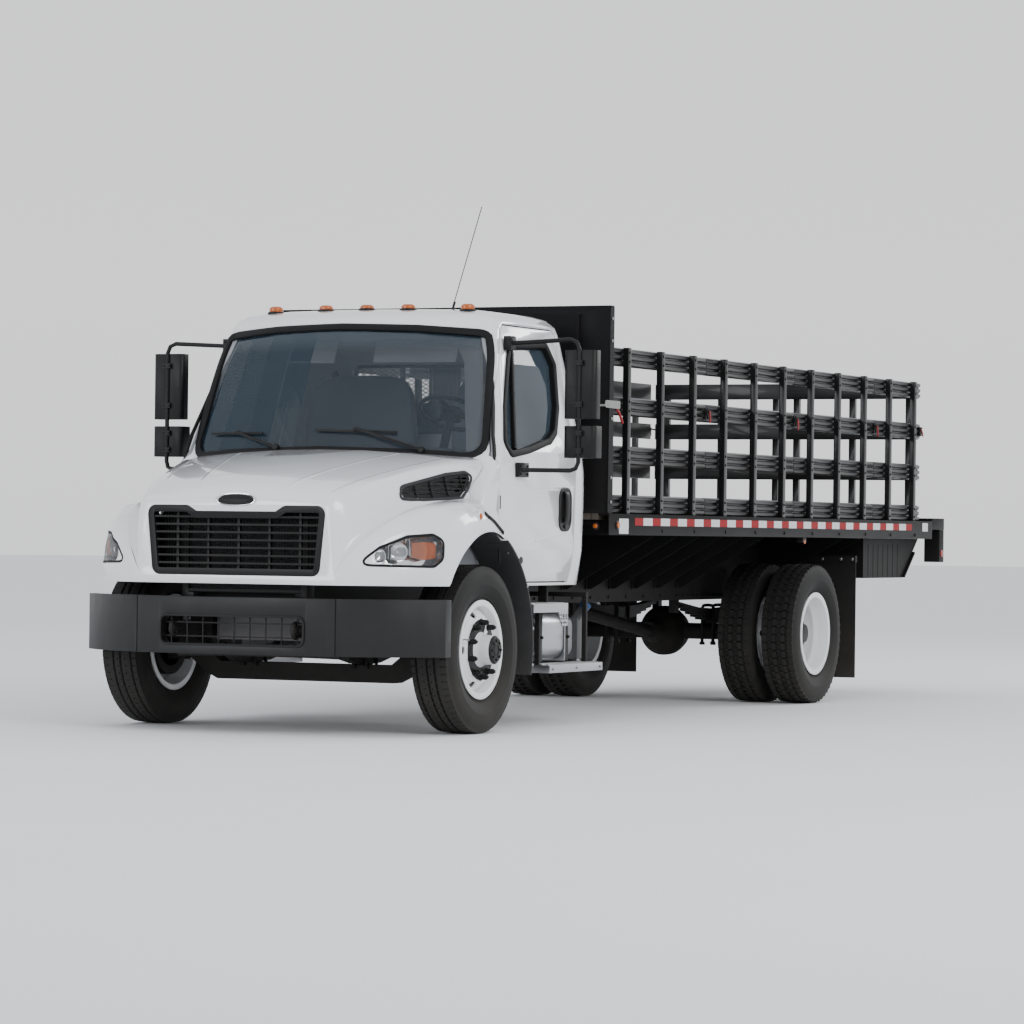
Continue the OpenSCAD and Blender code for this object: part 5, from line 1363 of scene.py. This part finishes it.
def make_headboard():
    """Headboard with its posts, diamond mesh in both windows and bright bolts."""
    dressed("headboard", "Headboard_sheet", ("Bed_black",), bevel=4)
    sizes = bpy.context.scene.truck_sizes
    pitch = sizes.mesh_pitch * 1000
    mesh = Shape()
    for side in (-1, 1):
        y0, y1, z0, z1 = side * REAR_WINDOW_Y - 384, side * REAR_WINDOW_Y + 384, 2078, 2382
        rows = int((z1 - z0) / (pitch * 0.5))
        for k in range(-rows, int((y1 - y0) / pitch) + 1):
            for direction in (1, -1):
                a, b = Vector((y0 + k * pitch, z0)), Vector((y0 + k * pitch + (z1 - z0) * 2.0, z1))
                if direction < 0:
                    a, b = Vector((y0 + y1 - a.x, a.y)), Vector((y0 + y1 - b.x, b.y))
                run = b.x - a.x
                enters, leaves = sorted(((y0 - a.x) / run, (y1 - a.x) / run))
                t0, t1 = max(0.0, enters), min(1.0, leaves)
                if t1 - t0 > 0.02:
                    p, q = a.lerp(b, t0), a.lerp(b, t1)
                    mesh.tube([(-1880 + direction * 1.2, p.x, p.y), (-1880 + direction * 1.2, q.x, q.y)], 2.6, 4)
    mesh.piece("Headboard_mesh", "chassis", "Bed_black", slot="bed_paint", smooth=60)
    frames = Shape()
    for side in (-1, 1):
        outline = even(rounded([(side * REAR_WINDOW_Y - 380, 2080), (side * REAR_WINDOW_Y + 380, 2080),
                                (side * REAR_WINDOW_Y + 380, 2380),
                                (side * REAR_WINDOW_Y - 380, 2380)], 25, 4), 60)
        for x, n in ((-1910, -1), (-1850, 1)):
            frames.band([(x, y, z) for y, z in outline], [(n, 0, 0)] * len(outline), lip(26, -3, 3))
    for y in (-1000, -330, 0, 330, 1000):
        frames.box((-1914, y - 20, 1370), (-1909, y + 20, 2715))
    frames.piece("Headboard_frames", "chassis", "Bed_black", slot="bed_paint", weld=True, bevel=0)
    flange = Shape()
    flange.prism([(-1912, 1372), (-1912, 2720), (-1900, 2722), (-1862, 2722), (-1848, 2700), (-1832, 1372)], "y", 1209,
                 1214.5)
    flange.with_mirror().piece("Headboard_flanges", "chassis", "Bed_black", slot="bed_paint", bevel=1.5)
    bolts = Shape()
    for z in (2640, 2495, 1985, 1600, 1440):
        bolts.disc([(12, 0), (12, 5), (8, 8)], (-1878, 1213, z), "y", 6)
    bolts.with_mirror().piece("Headboard_bolts", "chassis", "Zinc", slot="steel")


def make_racks():
    """Side racks and rear gate: ribbed slats, bright top edges, stakes, latches and bands."""
    # Upward faces at the top of the racks get the bright metal: a painted glint.
    def top(face):
        _, _, z = drawn(face)
        return 1 if face.normal.z > 0.9 and z > 2455 else 0

    for side in ("left", "right"):
        dressed("rack_" + side, "Rack_slats_" + side, ("Slat_black", "Rack_edge"), bevel=1.2, smooth=40,
                sorter=top)
    dressed("rear_gate", "Gate_slats", ("Slat_black", "Rack_edge"), bevel=1.2, smooth=40, sorter=top)
    plates = Shape()
    for i in range(STAKES):
        for j in range(SLATS):
            z = DECK_Z + 0.5 + j * SLAT_PITCH
            x = stake_x(i)
            for dz in (32, 93):
                plates.disc([(9, 0), (9, 2.5), (5, 5)], (x, 1211, z + dz), "y", 14)
    both_sides("Stake_rivets", plates, "chassis", "Bed_black", slot="bed_paint")
    hooks, handles, keepers = Shape(), Shape(), Shape()
    joints = [(stake_x(i) + stake_x(i + 1)) / 2 for i in (2, 5, 8)]
    for x in joints:
        hooks.box((x - 34, 1174, 2036), (x - 12, 1186, 2110))
        hooks.box((x + 12, 1174, 2036), (x + 34, 1186, 2110))
        hooks.tube([(x - 20, 1189, 2094), (x, 1193, 2100), (x + 20, 1189, 2094), (x + 24, 1188, 2076),
                    (x + 16, 1188, 2062)], 6.5, 10)
        handles.tube([(x - 22, 1190, 2092), (x - 24, 1196, 2066), (x - 20, 1199, 2034), (x - 17, 1198, 2010)], 6, 10)
        for j in range(SLATS):
            z = DECK_Z + 12 + j * SLAT_PITCH
            keepers.box((x - 46, 1143, z + 18), (x + 46, 1148, z + 82))
    x = -8076
    hooks.box((x - 20, 1150, 2040), (x + 28, 1182, 2112))
    hooks.tube([(x - 8, 1184, 2100), (x - 34, 1178, 2104), (x - 52, 1150, 2096), (x - 54, 1110, 2090)], 6.5, 10)
    handles.tube([(x + 4, 1184, 2096), (x + 6, 1196, 2070), (x + 4, 1200, 2036)], 6, 10)
    both_sides("Rack_latches", hooks, "chassis", "Chassis_black", slot="frame")
    both_sides("Latch_handles", handles, "chassis", "Handle_red", slot="trim")
    both_sides("Rack_keepers", keepers, "chassis", "Zinc", slot="steel")
    corner, grip = Shape(), Shape()
    corner.prism(rounded([(-2014, 2052), (-1780, 2056), (-1772, 2080), (-1780, 2104), (-2014, 2104)], 12, 3), "y",
                 1213.5, 1217)
    corner.tube([(-1800, 1214, 2070), (-1792, 1190, 2070), (-1792, 1140, 2070)], 9, 12)
    for x in (-1990, -1815):
        corner.disc([(9, 0), (9, 1), (6, 1.6)], (x, 1217, 2080), "y", 6)
    grip.tube([(-1990, 1190, 2066), (-2012, 1206, 2035), (-2045, 1209, 1995), (-2070, 1209, 1962)], 9, 12)
    both_sides("Corner_plates", corner, "chassis", "Zinc", slot="steel")
    both_sides("Corner_grips", grip, "chassis", "Handle_red", slot="trim")


def make_bed():
    """Deck boards, side rails with reflective tape and blank plates, tail lamps and marker lamps."""
    paint("bed_deck", "Deck_boards")
    dressed("side_rails", "Bed_rails", ("Bed_black",), bevel=3)
    dressed("tail_lamps", "Tail_lamp_boxes", ("Bed_black",), bevel=5)
    red, white = Shape(), Shape()
    start, end, red_run, white_run = -2275, -7905, 140, 158
    x = start
    while x - red_run > end:
        red.box((x - red_run, TAPE_IN, 1290), (x, TAPE_OUT, 1340))
        if x - red_run - white_run > end:
            white.box((x - red_run - white_run + 1, TAPE_IN, 1290), (x - red_run - 1, TAPE_OUT, 1340))
        x -= red_run + white_run
    for y in range(-1190, 1191, 298):
        red.box((TAIL_X - 1.2, y, 1315), (TAIL_X + 1, y + 140, DECK_Z))
        if y + 298 < 1200:
            white.box((TAIL_X - 1.2, y + 142, 1315), (TAIL_X + 1, y + 296, DECK_Z))
    for side, first, second in (("left", red, white), ("right", red.mirrored(), white.mirrored())):
        first.piece("Red_tape_" + side, "chassis", "Red_tape", slot="trim")
        second.piece("White_tape_" + side, "chassis", "White_tape", slot="trim")
    labels = Shape()
    labels.prism(rounded([(-2168, 1234), (-2012, 1234), (-2012, 1334), (-2168, 1334)], 8, 3), "y", TAPE_IN, 1220)
    labels.prism(rounded([(-8158, 1284), (-8030, 1284), (-8030, 1350), (-8158, 1350)], 8, 3), "y", TAPE_IN, 1220)
    labels.with_mirror().piece("Blank_stickers", "chassis", "Sticker_blank", slot="trim")
    pockets = Shape()
    for i in range(STAKES):
        x = stake_x(i)
        pockets.box((x - 34, 1212, 1366), (x - 27, 1218, 1372))
        pockets.box((x + 27, 1212, 1366), (x + 34, 1218, 1372))
        pockets.disc([(13, 0), (13, 3), (9, 6)], (x, BED_HALF, 1255), "y", 20)
    pockets.with_mirror().piece("Stake_pocket_rims", "chassis", "Bed_black", slot="bed_paint")
    lamps, back, amber = Shape(), Shape(), Shape()
    lamps.prism(rounded([(1100, 1060), (1205, 1060), (1205, 1180), (1100, 1180)], 16, 5), "x", TAIL_X - 6, TAIL_X + 2)
    back.prism(rounded([(1100, 1188), (1205, 1188), (1205, 1240), (1100, 1240)], 12, 5), "x", TAIL_X - 5, TAIL_X + 2)
    amber.prism(rounded([(1100, 1246), (1205, 1246), (1205, 1292), (1100, 1292)], 12, 5), "x", TAIL_X - 5, TAIL_X + 2)
    lamps.disc([(30, 0), (28, 5), (18, 8)], (TAIL_X + 55, BED_HALF, 1110), "y", 28)
    lamps.with_mirror().piece("Tail_lamp_red", "chassis", "Red_lens", slot="amber", bevel=2)
    back.with_mirror().piece("Tail_lamp_white", "chassis", "White_lens", slot="lamp_glass", bevel=2)
    amber.with_mirror().piece("Tail_lamp_amber", "chassis", "Amber_lens", slot="amber", bevel=2)
    plate = Shape()
    plate.prism(rounded([(-210, 1130), (210, 1130), (210, 1240), (-210, 1240)], 10, 3), "x", -8290, -8286)
    plate.box((-8286, -60, 1150), (-8262, 60, 1236))
    plate.piece("Blank_plate_rear", "chassis", "Sticker_blank", slot="trim", bevel=1)
    rim = Shape()
    rim.disc([(30, 0), (30, 4), (24, 8), (20, 8)], (-1980, BED_HALF, 1290), "y", 32)
    rim.disc([(26, 0), (26, 4), (20, 7)], (-1851, 1122, 1283), "x", 28)
    rim.with_mirror().piece("Marker_rims", "chassis", "Trim_black", slot="trim")
    dressed("marker_lamps", "Marker_lamps", ("Amber_lens", "Trim_black"), bevel=2,
            sorter=lambda face: 1 if drawn(face)[2] < 1220 else 0)
    dots = Shape()
    dots.disc([(15, 0), (13, 3), (7, 5)], (-5450, 1209, 1192), "y", 24)
    dots.disc([(18, 3), (15, 8), (7, 11)], (-1851, 1122, 1283), "x", 24)
    dots.with_mirror().piece("Marker_lenses", "chassis", "Amber_lens", slot="amber")
    apron = Shape()
    for k in range(1, 8):
        x = -7000 - k * 112
        apron.box((x - 3, 1098, 922), (x + 3, 1102, 1180))
    apron.box((-7905, 440, 917), (-7000, 1102, 923))
    apron.prism([(-7912, 918), (-8150, 1110), (-8140, 1122), (-7900, 930)], "y", 440, 1120)
    apron.with_mirror().piece("Apron_ribs", "chassis", "Bed_black", slot="bed_paint", bevel=1)


# Inside the cab and on its roof

def cushion(shape, centre, half, crown, tuck, lean=0.0, channels=0):
    """Crowned closed pad: centre, half sizes (x, y, z), crown height, how far its sides pull in,
    and lean in degrees."""
    steps = 20
    rings = []
    turn = Matrix.Rotation(math.radians(lean), 3, "Y")
    for i in range(steps + 1):
        u = -1 + 2 * i / steps
        ring = []
        wide = (1 - abs(u) ** 6) ** 0.5 if abs(u) < 1 else 0.0
        wide = max(wide, 0.10)
        for k in range(40):
            a = 2 * math.pi * k / 40
            c, s = math.cos(a), math.sin(a)
            px = half[0] * math.copysign(abs(c) ** 0.42, c)
            pz = half[2] * math.copysign(abs(s) ** 0.42, s)
            swell = (1 - (px / half[0]) ** 4 * 0.7) * (1 - abs(u) ** 3) * crown
            pz += math.copysign(swell, pz) * (1 if pz > 0 else 0.2)
            pull = tuck * math.sin(math.pi * (u + 1) / 2)
            px *= 1 - pull * (1 - abs(c)) * 0.1
            if channels:
                valley = math.exp(-((((px / half[0] * 0.5 + 0.5) * channels) % 1.0 - 0.5) / 0.09) ** 2)
                pz -= 7 * valley * (1 if pz > 0 else 0)
            spot = turn @ Vector((px * (0.6 + 0.4 * wide), 0, pz * wide))
            ring.append((centre[0] + spot.x, centre[1] + u * half[1], centre[2] + spot.z))
        rings.append(ring)
    return shape.loft(rings)


def piping(shape, centre, half, lean):
    """Sewn edge round a pad's upper outline."""
    turn = Matrix.Rotation(math.radians(lean), 3, "Y")
    outline = rounded([(-half[0], -half[1]), (half[0], -half[1]), (half[0], half[1]), (-half[0], half[1])], 46, 5)
    path = []
    for x, y in even(outline, 40):
        spot = turn @ Vector((x * 0.97, 0, half[2] * 0.55))
        path.append((centre[0] + spot.x, centre[1] + y * 0.97, centre[2] + spot.z))
    return shape.tube(path, 4.5, 8, closed=True)


def make_seats():
    """Padded driver's seat and passenger bench in cloth, with piping, a head rest and belts."""
    pads = []
    base = Shape()
    for y, half in ((500, 260), (-430, 420)):
        base.prism(rounded([(-1415, 1094), (-1005, 1094), (-1020, 1415), (-1400, 1415)], 40, 4), "y", y - half + 44,
                   y + half - 44)
        who = "driver" if y > 0 else "bench"
        seat, back, cord = Shape(), Shape(), Shape()
        cushion(seat, (-1200, y, 1486), (246, half - 4, 56), 22, 1.0, 0, 3)
        cushion(back, (-1497, y, 1892), (50, half - 14, 372), 0, 1.0, -8)
        piping(cord, (-1200, y, 1486), (246, half - 4, 60), 0)
        seat.piece("Cushion_pad_" + who, "chassis", "Cloth_weave", slot="seat_cloth", smooth=80, replaces=("seats",))
        back.piece("Back_pad_" + who, "chassis", "Cloth_weave", slot="seat_cloth", smooth=80, replaces=("seats",))
        cord.piece("Cushion_piping_" + who, "chassis", "Trim_black", slot="trim", smooth=80)
        if who == "driver":
            rest = cushion(Shape(), (-1556, y, 2330), (44, 130, 84), 4, 1.0, -8)
            rest.piece("Head_rest_driver_0", "chassis", "Cloth_weave", slot="seat_cloth", smooth=80)
            pads.append("Head_rest_driver_0")
        pads += ["Cushion_pad_" + who, "Back_pad_" + who]
    base.piece("Cushion_bases", "chassis", "Dash_plastic", slot="interior", bevel=4, replaces=("seats",))
    belts = Shape()
    for y, s in ((500, 1), (-430, -1)):
        path = even([(-1560, y + s * 235, 2290), (-1530, y + s * 150, 2080), (-1440, y - s * 40, 1760),
                     (-1400, y - s * 190, 1560)], 50, closed=False)
        belts.band(path, [(1, 0, 0.25)] * len(path), [(-24, 0), (-24, 2.5), (24, 2.5), (24, 0)], closed=False)
    belts.piece("Lap_belts", "chassis", "Gasket_rubber", slot="trim")


def make_inside():
    """Dashboard hood and knobs, wheel boss, sun visors, headliner roll and rear shelf."""
    hood, knobs = Shape(), Shape()
    profile = ((-870, 1.0, 1.1), (-780, 1.0, 1.25), (-640, 0.95, 0.9), (-640, 0.9, 0.5), (-870, 0.92, 0.7))
    rings = []
    for k in range(9):
        a = math.pi * k / 8
        rings.append([(x, 500 + 200 * math.cos(a) * w, 1712 + 46 * math.sin(a) * h) for x, w, h in profile])
    hood.loft(rings)
    hood.prism(rounded([(-876, 1560), (-842, 1712), (-700, 1746), (-640, 1730), (-700, 1560)], 16, 4), "y", -240, 230)
    hood.piece("Dash_hood", "chassis", "Dash_plastic", slot="interior", smooth=50)
    for y in (-160, -110, -60, -10, 40, 90):
        knobs.disc([(14, 0), (13, -12), (10, -15)], (-868, y, 1640), "x", 20)
    for y, r in ((440, 42), (560, 42), (500, 20)):
        knobs.disc([(r, 0), (r, -5), (r - 5, -7)], (-872, y, 1722), "x", 32)
    knobs.box((-878, -150, 1670), (-866, 60, 1704))
    knobs.piece("Dash_knobs", "chassis", "Trim_black", slot="trim")
    shelf = Shape()
    shelf.prism(rounded([(-1600, 1120), (-1560, 1120), (-1560, 1470), (-1600, 1470)], 12, 3), "y", -980, 980)
    shelf.prism(rounded([(-690, 2420), (-740, 2500), (-860, 2528), (-860, 2560), (-720, 2540), (-665, 2440)], 14, 3),
                "y", -700, 700)
    shelf.piece("Cab_shelf_and_headliner", "chassis", "Cab_lining", slot="interior", bevel=0, smooth=50)
    visors = Shape()
    for y in (-430, 430):
        visors.prism(rounded([(-560, 2300), (-548, 2300), (-598, 2440), (-612, 2440)], 5, 2), "y", y - 290, y + 290)
    visors.piece("Sun_visors", "chassis", "Cab_lining", slot="interior", smooth=50)
    boss = Shape()
    turn = Matrix.Rotation(math.radians(-28), 3, "Y")
    for radius, low, high in ((76, 14, 26), (26, 26, 32)):
        rings = []
        for r, h in ((radius, low), (radius * 0.9, high), (radius * 0.5, high + 4)):
            ring = []
            for i in range(32):
                a = 2 * math.pi * i / 32
                spot = turn @ Vector((r * math.cos(a), r * math.sin(a), h))
                ring.append((-960 + spot.x, 500 + spot.y, 1990 + spot.z))
            rings.append(ring)
        boss.loft(rings)
    boss.piece("Wheel_boss", "chassis", "Trim_black", slot="trim")


def make_roof():
    """Amber roof lamps on black bases, aerial base and mast."""
    def part(face):
        x, y, _ = drawn(face)
        return 1 if abs(y - 500) < 30 and x < -900 else 0

    dressed("roof_fittings", "Roof_lamp_lenses", ("Amber_lens", "Trim_black"), bevel=3, sorter=part)
    base = Shape()
    for x, y in ((-730, 0), (-730, 295), (-730, -295), (-785, 690), (-785, -690)):
        spot, _ = touch("cab_shell", (x, y, 3200), (0, 0, -1))
        base.turned([(47, -12), (56, -12), (55, 3), (48, 8), (46, 8)], (x, y, spot[2]), "z", 40)
    base.disc([(34, -6), (34, 6), (26, 14), (22, 22)], (-950, 500, 2632), "z", 32)
    base.tube([(-950, 500, 2650), (-962, 500, 2670), (-984, 500, 2706)], 8, 16)
    base.piece("Roof_lamp_bases", "chassis", "Trim_black", slot="trim")
    joints = Shape()
    for end, pivot in (((238, 1874), (669, 1740)), ((-655, 1852), (-317, 1755))):
        x = on_front(end[0], end[1])[0]
        joints.box((x + 8, end[0] - 16, end[1] - 14), (x + 30, end[0] + 16, end[1] + 6))
        x = on_front(pivot[0], pivot[1])[0]
        joints.disc([(20, 12), (20, 34), (14, 40)], (x, pivot[0], pivot[1]), "x", 24)
    joints.piece("Wiper_joints", "chassis", "Trim_black", slot="trim", bevel=1.5)
    feet = Shape()
    for z in (1290, 1830):
        feet.disc([(26, 0), (26, -6), (18, -10)], (-1670, 1050, z), "x", 28)
    feet.with_mirror().piece("Grab_handle_feet", "chassis", "Bare_steel", slot="steel")


def make_fenders():
    """Plates behind the front wheels and their fixings."""
    dressed("quarter_fenders", "Quarter_plates", ("Liner_grey",), bevel=3, smooth=40)
    screws = Shape()
    for degrees in (128, 150, 172, 190):
        a = math.radians(degrees)
        spot = (-20 + 737 * math.cos(a), 1187 if degrees > 140 else 1139, 530 + 737 * math.sin(a))
        screws.disc([(11, 0), (11, 3), (7, 6)], spot, "y", 18)
    screws.with_mirror().piece("Plate_screws", "chassis", "Bare_steel", slot="steel")


# Operators, panel and the run

STEPS = []


def step(identifier, label, *makers):
    """An operator that runs makers for one group of pieces."""
    def execute(self, context):
        for maker in makers:
            maker()
        return {"FINISHED"}

    words = " ".join(maker.__doc__ for maker in makers)
    made = type("TRUCK_OT_" + identifier, (bpy.types.Operator,), {
        "__doc__": words, "bl_idname": "truck." + identifier, "bl_label": label,
        "bl_options": {"REGISTER", "UNDO"}, "execute": execute})
    STEPS.append(made)
    return made


step("stage", "Stage", make_finishes, make_stage)
step("cab", "Cab", make_cab, make_glass)
step("doors", "Doors and mirrors", make_doors, make_mirrors)
step("hood", "Hood and grille", make_hood, make_grille)
step("headlamps", "Headlamps", make_headlamps)
step("bumper", "Bumper and fenders", make_bumper, make_fenders)
step("wheels", "Tyres and wheels", make_tyres, make_wheels)
step("steps", "Steps and tanks", make_steps, make_tanks)
step("chassis", "Chassis", make_chassis)
step("bed", "Bed", make_headboard, make_bed)
step("racks", "Racks", make_racks)
step("inside", "Inside of the cab", make_seats, make_inside)
step("roof", "Roof lamps and wipers", make_roof)


class TRUCK_PT_dressing(bpy.types.Panel):
    """Lists the truck's groups of pieces."""

    bl_label = "Truck"
    bl_idname = "TRUCK_PT_dressing"
    bl_space_type = "VIEW_3D"
    bl_region_type = "UI"
    bl_category = "Truck"

    def draw(self, context):
        for one in STEPS:
            self.layout.operator(one.bl_idname)


CLASSES = (TruckSizes, TruckColours, *STEPS, TRUCK_PT_dressing)


def register():
    for one in CLASSES:
        bpy.utils.register_class(one)
    bpy.types.Scene.truck_sizes = PointerProperty(type=TruckSizes)
    bpy.types.Scene.truck_colours = PointerProperty(type=TruckColours)


def unregister():
    del bpy.types.Scene.truck_colours
    del bpy.types.Scene.truck_sizes
    for one in reversed(CLASSES):
        bpy.utils.unregister_class(one)


def main():
    """Dresses the truck and writes the sizes of the CAD model and of the dressed one."""
    register()
    for one in STEPS:
        getattr(bpy.ops.truck, one.bl_idname.split(".")[1])()


if __name__ == "__main__":
    main()
